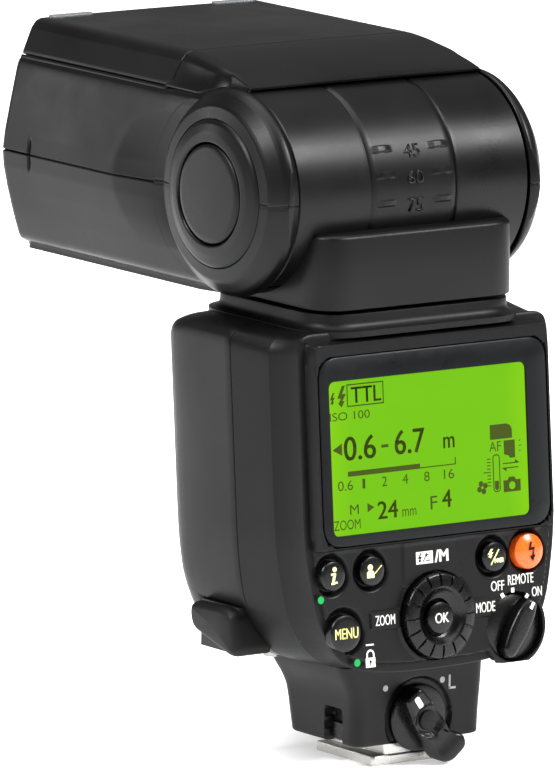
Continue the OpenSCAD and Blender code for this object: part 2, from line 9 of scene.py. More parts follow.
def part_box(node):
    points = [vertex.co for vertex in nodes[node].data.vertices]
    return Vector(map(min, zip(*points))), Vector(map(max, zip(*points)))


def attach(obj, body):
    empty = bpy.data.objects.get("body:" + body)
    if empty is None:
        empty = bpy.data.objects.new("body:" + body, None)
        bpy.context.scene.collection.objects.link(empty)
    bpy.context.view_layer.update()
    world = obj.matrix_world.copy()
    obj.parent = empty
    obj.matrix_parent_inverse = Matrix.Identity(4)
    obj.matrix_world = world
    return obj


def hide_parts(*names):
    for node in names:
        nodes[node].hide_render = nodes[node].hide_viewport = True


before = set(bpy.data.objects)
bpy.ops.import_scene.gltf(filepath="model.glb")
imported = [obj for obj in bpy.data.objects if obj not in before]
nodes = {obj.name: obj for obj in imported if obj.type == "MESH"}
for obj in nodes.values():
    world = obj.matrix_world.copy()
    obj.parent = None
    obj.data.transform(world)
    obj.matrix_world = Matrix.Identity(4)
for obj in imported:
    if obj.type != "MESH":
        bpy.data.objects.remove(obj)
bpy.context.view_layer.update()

# ---- sizes, in mm, taken from the frame --------------------------------------------------


def span(node):
    """A node's lowest and highest corners, in mm."""
    low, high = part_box(node)
    return np.array(low) * 1000, np.array(high) * 1000


FACE_TILT = math.radians(5.6)                 # lean of the screen face
FACE_ORIGIN = np.array([0.0, -14.3, 70.0])
PIVOT = np.array([0.0, *((span("tilt_axle")[0] + span("tilt_axle")[1]) / 2)[1:]])
DRUM_R = (span("tilt_drum")[1][2] - span("tilt_drum")[0][2]) / 2
DRUM_HALF = span("tilt_drum")[1][0]
HEAD_FLOOR = span("head_lower_shell")[0][2]
HEAD_FRONT = span("head_top_cover")[1][1]
HEAD_TOP = span("head_top_cover")[1][2]
PART_Z = span("head_upper_shell")[0][2]       # the line where the head's two shells meet
SEAM = 18.5                                   # depth of the body's seam behind the face
PANEL = 1.5                                   # depth of the button panel
BODY_DEPTH = 41.5
COLLAR_R = 20.3                               # outer radius of the head's round hubs


# ---- frames ------------------------------------------------------------------------------


def on_face(x, depth, up):
    """Screen-face place to row place: depth runs inward, up runs up the leaning face."""
    c, s = math.cos(FACE_TILT), math.sin(FACE_TILT)
    x, depth, up = np.broadcast_arrays(x, depth, up)
    return np.stack([x, FACE_ORIGIN[1] + depth * c + up * s,
                     FACE_ORIGIN[2] - depth * s + up * c], -1)


def face_place(node):
    """Centre (x, up) and half width of a round control, in the face's frame."""
    low, high = span(node)
    middle = (low + high) / 2 - FACE_ORIGIN
    c, s = math.cos(FACE_TILT), math.sin(FACE_TILT)
    return middle[0], middle[1] * s + middle[2] * c, (high[0] - low[0]) / 2


# ---- surfaces ----------------------------------------------------------------------------


def rounded(points, radius, steps=5):
    """Polyline with each inner corner replaced by a parabola: the corner's arms are cut back
    by radius (at most 45% of the arm) and joined by (1-t)^2 a + 2t(1-t) corner + t^2 b.
    points is (..., n, d); radius is one number or one per inner corner."""
    p = np.asarray(points, float)
    n = p.shape[-2]
    radius = np.broadcast_to(radius, (n - 2,))
    t = np.linspace(0, 1, steps)[:, None]
    out = [p[..., :1, :]]
    for i in range(1, n - 1):
        corner = p[..., i:i + 1, :]
        ends = []
        for other in (p[..., i - 1:i, :], p[..., i + 1:i + 2, :]):
            arm = other - corner
            length = np.linalg.norm(arm, axis=-1, keepdims=True) + 1e-9
            ends.append(corner + arm * np.minimum(radius[i - 1] / length, 0.45))
        out.append((1 - t) ** 2 * ends[0] + 2 * t * (1 - t) * corner + t ** 2 * ends[1])
    out.append(p[..., -1:, :])
    return np.concatenate(out, axis=-2)


def ring(points, radius, steps=5):
    """A closed loop with rounded corners, starting halfway along its last side."""
    p = np.asarray(points, float)
    start = (p[-1] + p[0]) / 2
    loop = rounded(np.vstack([start, p, start]), radius, steps)
    return loop[:-1]


def finer(points, step):
    """The same polyline with points no further apart than step, old corners kept."""
    out = []
    for a, b in zip(points[:-1], points[1:]):
        count = max(1, int(math.ceil(np.linalg.norm(b - a) / step)))
        out.append(a + (b - a) * (np.arange(count) / count)[:, None])
    return np.vstack(out + [points[-1:]])


def quads(rows, columns, closed=False, keep=None):
    """Faces of a grid of rows x columns vertices; closed joins the last column to the first;
    keep is a mask of the faces to keep."""
    last = columns if closed else columns - 1
    r, c = np.meshgrid(np.arange(rows - 1), np.arange(last), indexing="ij")
    n = (c + 1) % columns
    faces = np.stack([r * columns + c, r * columns + n, (r + 1) * columns + n,
                      (r + 1) * columns + c], -1)
    return faces[keep] if keep is not None else faces.reshape(-1, 4)


def piece(name, grids, material, body, stands_for=(), wall=0.0, sharp=35, bevel=0.0):
    """One mesh from several grids. A grid is (points, closed, flip) or (points, closed, flip,
    keep); points are in mm. Doubles are merged, wall thickens it inward, bevel rounds it."""
    points, faces, base = [], [], 0
    for grid in grids:
        p, closed, flip = grid[:3]
        f = quads(p.shape[0], p.shape[1], closed, grid[3] if len(grid) > 3 else None)
        faces.append((f[:, ::-1] if flip else f) + base)
        points.append(p.reshape(-1, 3))
        base += p.shape[0] * p.shape[1]
    return solid(name, np.vstack(points), np.vstack(faces).tolist(), material, body,
                 stands_for, wall, sharp, bevel)


def solid(name, points, faces, material, body, stands_for=(), wall=0.0, sharp=35, bevel=0.0):
    """A finished object from points in mm and face lists."""
    mesh = bpy.data.meshes.new(name)
    mesh.from_pydata(np.asarray(points) * 0.001, [], faces)
    work = bmesh.new()
    work.from_mesh(mesh)
    bmesh.ops.remove_doubles(work, verts=work.verts, dist=2e-6)
    loose = [v for v in work.verts if not v.link_faces]
    bmesh.ops.delete(work, geom=loose, context="VERTS")
    work.to_mesh(mesh)
    work.free()
    mesh.shade_smooth()
    mesh.set_sharp_from_angle(angle=math.radians(sharp))
    mesh.materials.append(material)
    made = bpy.data.objects.new(name, mesh)
    bpy.context.scene.collection.objects.link(made)
    if wall:
        thick = made.modifiers.new("wall", "SOLIDIFY")
        thick.thickness = wall * 0.001
        thick.offset = -1
    if bevel:
        soft = made.modifiers.new("edges", "BEVEL")
        soft.width = bevel * 0.001
        soft.segments = 2
        soft.limit_method = "ANGLE"
        soft.angle_limit = math.radians(sharp)
    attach(made, body)
    if stands_for:
        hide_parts(*stands_for)
    return made


def turned(profile, centre, axis, count=96):
    """A profile of (radius, height) turned about axis through centre: point(a, s) =
    centre + axis h(s) + r(s) (u cos a + v sin a). Heights that rise outward face outward."""
    axis = np.asarray(axis, float) / np.linalg.norm(axis)
    side = np.cross(axis, [0.0, 0.0, 1.0] if abs(axis[2]) < 0.9 else [1.0, 0.0, 0.0])
    side /= np.linalg.norm(side)
    other = np.cross(axis, side)
    a = np.linspace(0, 2 * math.pi, count, endpoint=False)
    r, h = np.asarray(profile, float).T[:, :, None]
    spoke = np.cos(a)[:, None] * side + np.sin(a)[:, None] * other
    return np.asarray(centre) + axis * h[..., None] + r[..., None] * spoke


def inset(loop, amount):
    """A closed 2D loop moved inward along its own normals (counter-clockwise loops)."""
    p = np.asarray(loop, float)
    tangent = np.roll(p, -1, 0) - np.roll(p, 1, 0)
    tangent /= np.linalg.norm(tangent, axis=1, keepdims=True) + 1e-9
    return p + np.stack([-tangent[:, 1], tangent[:, 0]], 1) * amount


def slab(loop, steps, place):
    """A closed pad: the 2D loop inset and raised by each (inset, height) of steps, closed to
    its middle at the first and last height. place turns (a, b, height) into row places."""
    rings = [np.column_stack([inset(loop, i), np.full(len(loop), h)]) for i, h in steps]
    first, last = rings[0], rings[-1]
    rings = [first * 0 + first.mean(0)] + rings + [last * 0 + last.mean(0)]
    p = np.array(rings)
    return place(p[..., 0], p[..., 1], p[..., 2])


def smooth(low, high, value):
    """0 below low, 1 above high, an S-curve between."""
    t = np.clip((value - low) / (high - low), 0, 1)
    return t * t * (3 - 2 * t)


def soft_max(a, b, width):
    """The larger of two surfaces, with the valley between them filled over width."""
    h = np.clip(0.5 + 0.5 * (a - b) / width, 0, 1)
    return b + (a - b) * h + width * h * (1 - h) * 0.5


# ---- materials ---------------------------------------------------------------------------


def linear(hex_colour):
    """sRGB hex to linear RGBA."""
    parts = [int(hex_colour[k:k + 2], 16) / 255 for k in (0, 2, 4)]
    return tuple(p / 12.92 if p <= 0.04045 else ((p + 0.055) / 1.055) ** 2.4
                 for p in parts) + (1.0,)


def node(tree, kind, links=None, **settings):
    """Adds a node, sets its properties and input values, and links its inputs."""
    made = tree.nodes.new("ShaderNode" + kind)
    for key, value in settings.items():
        if hasattr(made, key):
            setattr(made, key, value)
        else:
            made.inputs[key.replace("_", " ")].default_value = value
    for key, source in (links or {}).items():
        tree.links.new(source, made.inputs[key])
    return made


def ramp(tree, source, low, high, out_low, out_high):
    """A value mapped from low..high to out_low..out_high."""
    return node(tree, "MapRange", {"Value": source}, From_Min=low, From_Max=high,
                To_Min=out_low, To_Max=out_high).outputs["Result"]


def moulded(name, hex_colour, roughness, grain_mm, bump_mm, specular=0.5, spread=0.08,
            tint=0.12, coat=0.0):
    """Moulded plastic: a spark-eroded grain from fine noise, and slow changes of sheen where the
    melt flowed."""
    made = bpy.data.materials.new(name)
    made.use_nodes = True
    tree = made.node_tree
    shader = tree.nodes["Principled BSDF"]
    place = node(tree, "TexCoord").outputs["Object"]
    grain = node(tree, "TexNoise", {"Vector": place}, Scale=1000.0 / grain_mm, Detail=3.0,
                 Roughness=0.6)
    flow = node(tree, "TexNoise", {"Vector": place}, Scale=38.0, Detail=4.0, Roughness=0.55)
    rough = node(tree, "Math", {0: ramp(tree, flow.outputs["Fac"], 0.3, 0.7,
                                        roughness - spread, roughness + spread),
                                1: ramp(tree, grain.outputs["Fac"], 0.3, 0.7, -0.05, 0.05)},
                 operation="ADD")
    base = linear(hex_colour)
    light = tuple(min(1, c * (1 + tint)) for c in base[:3]) + (1,)
    deep = tuple(c * (1 - tint) for c in base[:3]) + (1,)
    mix = node(tree, "Mix", {"Factor": flow.outputs["Fac"]}, data_type="RGBA")
    mix.inputs[6].default_value = deep
    mix.inputs[7].default_value = light
    bump = node(tree, "Bump", {"Height": grain.outputs["Fac"]}, Strength=0.5,
                Distance=bump_mm * 0.001)
    tree.links.new(mix.outputs[2], shader.inputs["Base Color"])
    tree.links.new(rough.outputs[0], shader.inputs["Roughness"])
    tree.links.new(bump.outputs["Normal"], shader.inputs["Normal"])
    shader.inputs["IOR"].default_value = 1.53
    shader.inputs["Specular IOR Level"].default_value = specular
    shader.inputs["Coat Weight"].default_value = coat
    shader.inputs["Coat Roughness"].default_value = 0.12
    return made


def metal(name, hex_colour, roughness, brush_mm, stretch=(1, 1, 1)):
    """Plated or turned metal: noise drawn out along one way gives the tool marks."""
    made = bpy.data.materials.new(name)
    made.use_nodes = True
    tree = made.node_tree
    shader = tree.nodes["Principled BSDF"]
    place = node(tree, "TexCoord").outputs["Object"]
    lined = node(tree, "Mapping", {"Vector": place}, Scale=stretch)
    marks = node(tree, "TexNoise", {"Vector": lined.outputs[0]}, Scale=1000.0 / brush_mm,
                 Detail=4.0)
    bump = node(tree, "Bump", {"Height": marks.outputs["Fac"]}, Strength=0.25,
                Distance=0.00003)
    tree.links.new(ramp(tree, marks.outputs["Fac"], 0.3, 0.7, roughness - 0.07,
                        roughness + 0.1), shader.inputs["Roughness"])
    tree.links.new(bump.outputs["Normal"], shader.inputs["Normal"])
    shader.inputs["Base Color"].default_value = linear(hex_colour)
    shader.inputs["Metallic"].default_value = 1.0
    return made


def clear(name, hex_colour, roughness, weight, ior=1.49, specular=0.5):
    """Clear moulded acrylic with a faint waviness."""
    made = bpy.data.materials.new(name)
    made.use_nodes = True
    tree = made.node_tree
    shader = tree.nodes["Principled BSDF"]
    place = node(tree, "TexCoord").outputs["Object"]
    wave = node(tree, "TexNoise", {"Vector": place}, Scale=220.0, Detail=2.0)
    bump = node(tree, "Bump", {"Height": wave.outputs["Fac"]}, Strength=0.15,
                Distance=0.00005)
    tree.links.new(bump.outputs["Normal"], shader.inputs["Normal"])
    tree.links.new(ramp(tree, wave.outputs["Fac"], 0.3, 0.7, roughness, roughness + 0.06),
                   shader.inputs["Roughness"])
    shader.inputs["Base Color"].default_value = linear(hex_colour)
    shader.inputs["Transmission Weight"].default_value = weight
    shader.inputs["IOR"].default_value = ior
    shader.inputs["Specular IOR Level"].default_value = specular
    return made


def backlit(name, hex_colour, edge_hex, glow):
    """Liquid-crystal glass lit from its two sides: the green brightens towards the left and
    right edges, with a faint cell texture."""
    made = bpy.data.materials.new(name)
    made.use_nodes = True
    tree = made.node_tree
    shader = tree.nodes["Principled BSDF"]
    place = node(tree, "TexCoord").outputs["Object"]
    x = node(tree, "SeparateXYZ", {"Vector": place}).outputs["X"]
    centred = node(tree, "Math", {0: x}, operation="ADD")
    centred.inputs[1].default_value = 0.0014       # the lit area's middle is 1.4 mm left
    away = node(tree, "Math", {0: centred.outputs[0]}, operation="ABSOLUTE")
    edge = ramp(tree, away.outputs[0], 0.019, 0.0245, 0.0, 1.0)
    patch = node(tree, "TexNoise", {"Vector": place}, Scale=45.0, Detail=3.0)
    blend = node(tree, "Math", {0: edge, 1: ramp(tree, patch.outputs["Fac"], 0.3, 0.7,
                                                 0.0, 0.25)}, operation="ADD", use_clamp=True)
    mix = node(tree, "Mix", {"Factor": blend.outputs[0]}, data_type="RGBA")
    mix.inputs[6].default_value = linear(hex_colour)
    mix.inputs[7].default_value = linear(edge_hex)
    shader.inputs["Base Color"].default_value = linear("1C3000")
    tree.links.new(mix.outputs[2], shader.inputs["Emission Color"])
    shader.inputs["Emission Strength"].default_value = glow
    shader.inputs["Roughness"].default_value = 0.5
    shader.inputs["Specular IOR Level"].default_value = 0.08
    return made


def ink(name, hex_colour, roughness=0.55, glow=0.0):
    """Pad-printed ink: nearly flat, with the faint mottling of a thin film. glow adds emission: on
    the screen's segments it is the backlight shining through, and on the white and pale printing
    inks it is a painted glow that brightens the print.
    """
    made = bpy.data.materials.new(name)
    made.use_nodes = True
    tree = made.node_tree
    shader = tree.nodes["Principled BSDF"]
    place = node(tree, "TexCoord").outputs["Object"]
    film = node(tree, "TexNoise", {"Vector": place}, Scale=2500.0, Detail=2.0)
    tree.links.new(ramp(tree, film.outputs["Fac"], 0.3, 0.7, roughness - 0.08,
                        roughness + 0.08), shader.inputs["Roughness"])
    shader.inputs["Base Color"].default_value = linear(hex_colour)
    shader.inputs["Emission Color"].default_value = linear(hex_colour)
    shader.inputs["Emission Strength"].default_value = glow
    shader.inputs["Specular IOR Level"].default_value = 0.12
    return made


# glass-filled polycarbonate, moulded with a fine eroded grain: a dry, even black
CASE = moulded("grained black polycarbonate", "060607", 0.42, 0.28, 0.03, specular=0.2)
# the same plastic with a finer grain on the tilting head: a little more sheen
SHELL = moulded("satin black polycarbonate", "060607", 0.36, 0.24, 0.022, specular=0.2)
# polished tool surface on the controls
CONTROL = moulded("smooth black ABS", "050506", 0.3, 0.35, 0.01, specular=0.28, spread=0.05)
# soft-touch rubber cover, very matte
RUBBER = moulded("black santoprene rubber", "080809", 0.5, 0.22, 0.04, specular=0.22)
# printed acrylic in front of the screen: dark grey with a clear gloss
BORDER = moulded("printed grey acrylic", "131516", 0.34, 1.6, 0.004, specular=0.1)
ORANGE = moulded("translucent orange ABS", "FF6418", 0.3, 0.5, 0.006, specular=0.5)
NICKEL = metal("nickel-plated steel", "C9C8C4", 0.3, 0.35, (1, 0.08, 1))
STEEL = metal("turned steel", "9A9A98", 0.32, 0.3, (0.1, 1, 1))
GOLD = metal("gold-plated contacts", "D8A850", 0.25, 0.4)
SCREEN = backlit("backlit green liquid crystal", "72C400", "84D000", 0.92)
PIXEL = ink("liquid crystal dark segments", "2A3600", 0.6, 0.5)
# the white and pale inks carry a painted glow: an emission that brightens the print, though the
# print is no lamp
WHITE_INK_PAINTED_GLOW = ink("white pad-printing ink, painted glow", "EDEDE8", 0.5, 0.2)
PALE_INK_PAINTED_GLOW = ink("pale yellow pad-printing ink, painted glow", "ECE9A0", 0.5, 0.35)
BLACK_INK = ink("black pad-printing ink", "0A0A0A", 0.5)
GREEN = ink("green pad-printing ink", "1F9A50", 0.5)
GREY_INK = ink("grey pad-printing ink", "A9A9A6", 0.5)
LENS = clear("frosted fresnel acrylic", "F4F6F8", 0.22, 0.75)
GLASS = clear("flash tube glass", "FFFFFF", 0.03, 0.9, 1.47)
RED_WINDOW = clear("deep red acrylic", "520006", 0.06, 0.0, specular=0.15)
SMOKE = clear("smoked acrylic", "0C0809", 0.06, 0.0, specular=0.25)
MIRROR = metal("bright anodised aluminium", "E4E6E8", 0.12, 0.8)
CARD = moulded("white styrene card", "EDEDEA", 0.5, 0.6, 0.01, specular=0.4)
BOARD = moulded("green solder-masked board", "0E5A2C", 0.4, 0.9, 0.01)
SLEEVE = moulded("blue capacitor sleeve", "1B2350", 0.3, 0.8, 0.008)
WINDING = metal("enamelled copper winding", "A8602C", 0.35, 0.3)
CELL = moulded("printed cell label", "A88A42", 0.35, 0.9, 0.006)

HIDDEN_FINISH = {
    "foot_screws": STEEL, "cover_screws": STEEL, "shoe_contacts": GOLD, "contact_block": CONTROL,
    "lcd_backlight": CARD, "main_board": BOARD, "button_mat": RUBBER,
    "flash_capacitor": SLEEVE, "step_up_transformer": WINDING, "aa_cells": CELL,
    "battery_cradle": CONTROL, "battery_contacts": GOLD, "af_lamp_window": RED_WINDOW,
    "light_sensor_window": SMOKE, "terminal_block": CONTROL, "lock_pin": STEEL,
    "swivel_spindle": STEEL, "tilt_axle": STEEL, "lens_bezel": CONTROL, "fresnel_lens": LENS,
    "zoom_rails": STEEL, "zoom_motor": STEEL, "lead_screw": STEEL, "reflector": MIRROR,
    "flash_tube": GLASS, "fan_frame": CONTROL, "fan_rotor": CONTROL, "bounce_card": CARD,
    "wide_panel": LENS, "lcd_panel": SCREEN, "mounting_foot": NICKEL,
}
for name, made in nodes.items():
    made.data.materials.clear()
    made.data.materials.append(HIDDEN_FINISH.get(name, CASE))

# ---- camera ------------------------------------------------------------------------------

CAMERA_AZIMUTH = -36.87      # degrees, seen from the left of the screen side
CAMERA_ELEVATION = 9.99
CAMERA_ROLL = 1.22
CAMERA_DISTANCE = 2.220      # metres
CAMERA_TARGET = (0.0, 0.020, 0.070)
CAMERA_OFFSET = (-0.00997, 0.00040)   # along the picture's right and up
CAMERA_LENS = 530.6          # mm, on the default 36 mm sensor


def set_camera():
    """A long lens looking back along (sin a cos e, -cos a cos e, sin e), rolled a little."""
    a, e, r = (math.radians(v) for v in (CAMERA_AZIMUTH, CAMERA_ELEVATION, CAMERA_ROLL))
    back = np.array([math.sin(a) * math.cos(e), -math.cos(a) * math.cos(e), math.sin(e)])
    level = np.array([math.cos(a), math.sin(a), 0.0])
    rise = np.cross(back, level)
    right = math.cos(r) * level + math.sin(r) * rise
    up = -math.sin(r) * level + math.cos(r) * rise
    place = (np.array(CAMERA_TARGET) + back * CAMERA_DISTANCE
             + right * CAMERA_OFFSET[0] + up * CAMERA_OFFSET[1])
    matrix = np.eye(4)
    matrix[:3, 0], matrix[:3, 1], matrix[:3, 2], matrix[:3, 3] = right, up, back, place
    data = bpy.data.cameras.new("camera")
    data.lens = CAMERA_LENS
    data.clip_end = 20.0
    camera = bpy.data.objects.new("camera", data)
    bpy.context.scene.collection.objects.link(camera)
    camera.matrix_world = Matrix(matrix.tolist())
    bpy.context.scene.camera = camera


set_camera()

# ---- light and floor ---------------------------------------------------------------------


def soft_light(name, place, aim, size, power):
    """A rectangular soft box at place, turned to face aim."""
    data = bpy.data.lights.new(name, "AREA")
    data.shape = "RECTANGLE"
    data.size, data.size_y = size
    data.energy = power
    lamp = bpy.data.objects.new(name, data)
    bpy.context.scene.collection.objects.link(lamp)
    lamp.location = place
    lamp.rotation_euler = (Vector(aim) - Vector(place)).to_track_quat("-Z", "Y").to_euler()
    return lamp


world = bpy.data.worlds.new("studio")
bpy.context.scene.world = world
world.use_nodes = True
world.node_tree.nodes["Background"].inputs["Color"].default_value = (1, 1, 1, 1)
world.node_tree.nodes["Background"].inputs["Strength"].default_value = 0.22
bpy.context.scene.view_settings.view_transform = "Standard"
AIM = (0.0, 0.02, 0.08)
soft_light("key right", (0.75, -0.95, 1.15), AIM, (0.4, 0.4), 30)
soft_light("key left", (-1.1, -0.1, 1.25), AIM, (0.25, 0.5), 22)
soft_light("strip front left", (-0.95, 1.25, 0.30), AIM, (0.2, 0.4), 2)
soft_light("overhead", (0.0, 0.3, 3.2), AIM, (3.0, 3.0), 95)

bpy.ops.mesh.primitive_plane_add(size=12, location=(0, 0, 0))
floor = bpy.context.object
floor.name = "floor"
paper = bpy.data.materials.new("white backdrop paper")
paper.use_nodes = True
shade = paper.node_tree.nodes["Principled BSDF"]
shade.inputs["Base Color"].default_value = (0.95, 0.95, 0.95, 1)
shade.inputs["Roughness"].default_value = 0.9
shade.inputs["Emission Color"].default_value = (1, 1, 1, 1)
shade.inputs["Emission Strength"].default_value = 0.45
floor.data.materials.append(paper)

# ---- head shells -------------------------------------------------------------------------

HEAD_SIDE = np.array([       # (z, half width) up the head's side, from the floor to the top
    [90.9, 25.4], [91.3, 26.9], [93.1, 30.3], [94.0, 30.9], [98.5, 32.4], [103.7, 33.9],
    [108.0, 34.9], [111.2, 35.2], [115.0, 34.75], [121.5, 33.4], [127.4, 32.1],
    [129.0, 31.6], [130.0, 30.9], [135.2, 28.4]])
RIDGE_X = 26.4               # where the head's side turns onto its flat top
SCOOP_AHEAD, SCOOP_LONG, SCOOP_TALL = 8.0, 23.4, 18.9   # centre ahead of the hub, half axes


def hub_height(r):
    """How far a hub reaches from the middle plane at radius r: flat, then a wide chamfer."""
    return np.interp(r, [0, 14.8, 16.9, 17.5, 19.4, 20.0, 20.25, COLLAR_R],
                     [33.55, 33.55, 33.2, 32.8, 31.1, 30.3, 29.4, 28.3])


def side_of_head(y, z):
    """Half width of the head at (y, z): the side line, lowered in the slanted scoop ahead of
    the hub, and never below the hub's own chamfer."""
    wall = np.interp(z, HEAD_SIDE[:, 0], HEAD_SIDE[:, 1])
    out = np.hypot(y - PIVOT[1], z - PIVOT[2])
    rim = np.hypot((y - PIVOT[1] - SCOOP_AHEAD) / SCOOP_LONG, (z - PIVOT[2]) / SCOOP_TALL)
    left_over = (1 - rim) * SCOOP_LONG * 0.8
    share = np.clip((out - 17.2) / np.maximum((out - 17.2) + left_over, 0.05), 0, 1)
    floor_x = 32.5 + (wall - 32.5) * share
    scooped = np.where((rim < 1) & (y > PIVOT[1]), np.minimum(wall, floor_x), wall)
    behind = smooth(PIVOT[1] + 7, PIVOT[1] - 3, y)
    lowered = scooped - 4.5 * behind
    return soft_max(lowered, hub_height(out), 0.35)


def slope_top(y):
    """Height of the head's top along y: level, then a convex slope down to the rear lip."""
    t = np.clip((31.5 - y) / (31.5 - 9.2), 0, 1)
    return HEAD_TOP - 4.75 * t ** 1.62


def lower_edge(y):
    """Lowest z of the head's side at y: the hub's circle, then the floor."""
    inside = np.clip(COLLAR_R ** 2 - (y - PIVOT[1]) ** 2, 0, None)
    circle = PIVOT[2] - np.sqrt(inside)
    return np.where(y < PIVOT[1], circle, HEAD_FLOOR + 0.5 * smooth(26, PIVOT[1], y))


def step_line(y):
    """Height of the line where the side steps in under the roof: level ahead of the hub, then
    riding up over the hub's round top, and never above the roof."""
    circle = PIVOT[2] + np.sqrt(np.clip(COLLAR_R ** 2 - (y - PIVOT[1]) ** 2, 0, None))
    ridden = soft_max(np.full_like(circle, 129.95), circle, 1.2)
    return np.where(y < 9.2, circle, np.minimum(ridden, slope_top(y) - 0.3))


STATIONS = np.concatenate([
    PIVOT[1] - COLLAR_R * np.cos(np.linspace(0, 0.5, 22) ** 1.0 * math.pi * 0.94)[:-1],
    np.linspace(12.3, 42, 110)[:-1], np.linspace(42, 72.4, 40)[:-1],
    np.linspace(72.4, 74.2, 9)[:-1], np.linspace(74.2, HEAD_FRONT, 12)])
SIDE_STATIONS = STATIONS[STATIONS >= PIVOT[1] - 0.5]


def parting_groove(y, z):
    """A rounded groove along the parting line, wider near the front, and the small upright
    notch that crosses it."""
    d = np.abs(z - PART_Z)
    groove = 0.3 * np.exp(-(d / 0.16) ** 2) * (1 + 0.9 * smooth(70, 76, y))
    notch = 1.1 * smooth(0.55, 0.2, np.abs(y - 73.3)) * smooth(3.6, 1.2, d)
    return groove + notch


def rows_near(low, high, spots, coarse, fine, reach):
    """Values from low to high, closer together near each spot."""
    values, v = [low], low
    while v < high:
        near = min(abs(v - s) for s in spots)
        v += fine if near < reach else coarse
        values.append(min(v, high))
    return np.array(values)


def head_side_rows(low, high, spots):
    """Shares 0..1 for the rows of a side grid, packed near spots."""
    values = rows_near(low, high, spots, 0.5, 0.12, 0.7)
    return (values - low) / (high - low)


def side_patch(side, z0, z1, low, high, spots):
    """A side grid whose rows follow shares packed near spots; low and high are its edges."""
    shares = head_side_rows(z0, z1, spots)[:, None]
    y = SIDE_STATIONS
    bottom, top = low(y)[None, :], high(y)[None, :]
    z = bottom + (top - bottom) * shares
    yy = np.broadcast_to(y[None, :], z.shape)
    x = side_of_head(yy, z) - parting_groove(yy, z)
    out = np.hypot(yy - PIVOT[1], z - PIVOT[2])
    x = x - 0.08 * (out < 20.2) - 0.4 * (out < 16) - 3.0 * (out < 13.6)
    under_step = (step_line(yy) - z) + 9 * (z1 < 120)
    x = x - np.interp(under_step, [0, 0.15, 0.35, 0.7, 1.2], [1.5, 1.2, 0.6, 0.2, 0]) \
        * (0.3 + 0.7 * smooth(30, 34, yy))
    x = np.where(yy < 30.4, np.maximum(x, 28.2), x)
    return np.stack([side * x, yy, z], -1)


def collar(side, top):
    """Upper or lower half of the hub's face in rings about the tilt axis: x is side_of_head
    at (y, z) = pivot + r (cos a, sin a), so it meets the side without a step."""
    r = np.concatenate([[14.66, 14.66], np.linspace(14.7, 20.2, 40), [20.26, COLLAR_R]])[:, None]
    a = np.linspace(0.002, math.pi - 0.002, 150)[None, :] * (1 if top else -1)
    y, z = PIVOT[1] + r * np.cos(a), PIVOT[2] + r * np.sin(a)
    keep = z < slope_top(y) + 20
    x = side_of_head(y, np.where(keep, z, 130)) - 0.12 * np.exp(-((z - PART_Z) / 0.16) ** 2)
    x[0] = 32.6
    x[-1] = np.where(np.cos(a[0]) < 0.35, 28.3, x[-1])
    grid = np.stack([np.broadcast_to(side * x, z.shape), y, z], -1)
    return grid, False, (side > 0) == top


def lower_shell():
    """Both sides from the floor to the parting line, the hubs' lower halves, and the floor
    itself ahead of the neck."""
    part = lambda y: np.full_like(y, PART_Z)
    left = side_patch(-1, HEAD_FLOOR, PART_Z, lower_edge, part, [HEAD_FLOOR, PART_Z])
    right = side_patch(1, HEAD_FLOOR, PART_Z, lower_edge, part, [HEAD_FLOOR, PART_Z])
    ahead = SIDE_STATIONS > 33
    start, end = left[0][ahead], right[0][ahead]
    t = np.linspace(0, 1, 14)[:, None, None]
    floor_grid = start[None] + (end - start)[None] * t
    return piece("head_lower_shell_skin",
                 [(left, False, True), (right, False, False), (floor_grid, False, False),
                  collar(-1, False), collar(1, False)],
                 SHELL, "head", ["head_lower_shell"], wall=0.75)


def cover_start(share):
    """Rear end of the top cover at a share of the way from its lower edge to the ridge: the
    seam runs back along the step, then turns up in an S to the ridge."""
    return 31.3 + 0.9 * smooth(1.0, 0.2, share) + 2.2 * smooth(0.24, 0.0, share) ** 1.5


def upper_band(side, y, shares, drop=0.0):
    """The side strip from the step line to the ridge and over onto the top, at stations y.
    share 0 is the step, 1 the ridge; beyond 1 the strip runs over onto the top."""
    yy, s = np.broadcast_arrays(y, shares)
    top = np.where(yy < 31.5, slope_top(yy), HEAD_TOP)
    low = step_line(yy)
    z_side = low + (top - low) * np.minimum(s, 1)
    height = np.clip((top - low) / 7.05, 0.05, 1)
    base = side_of_head(yy, low)
    ridge = RIDGE_X + 1.5 * (1 - height)
    base = np.maximum(base, ridge + 0.3)
    x_side = np.interp(s, [0, 0.74, 0.9, 0.97, 1.0], [0, 0.50, 0.70, 0.86, 1.0])
    x = base + (ridge - base) * x_side
    dish = 0.3 * smooth(33, 27, yy) * np.sin(math.pi * np.clip(s / 0.8, 0, 1)) * height
    z_round = np.interp(s, [0, 0.9, 1.0], [0, 0, -0.12])
    return np.stack([side * (x - dish - drop), yy, z_side + z_round * (s <= 1) - drop], -1)


def strip_loop(y, shares, drop=0.0):
    """Left strip, top and right strip as one grid of rows running across the head."""
    left = upper_band(-1, y, shares, drop)
    right = upper_band(1, y, shares, drop)[::-1]
    across = np.linspace(0, 1, 34)[1:-1, None, None]
    crown = 0.12 * np.sin(math.pi * across[..., 0])
    middle = left[-1][None] + (right[0] - left[-1])[None] * across
    middle[..., 2] += crown
    return np.concatenate([left, middle, right], 0)


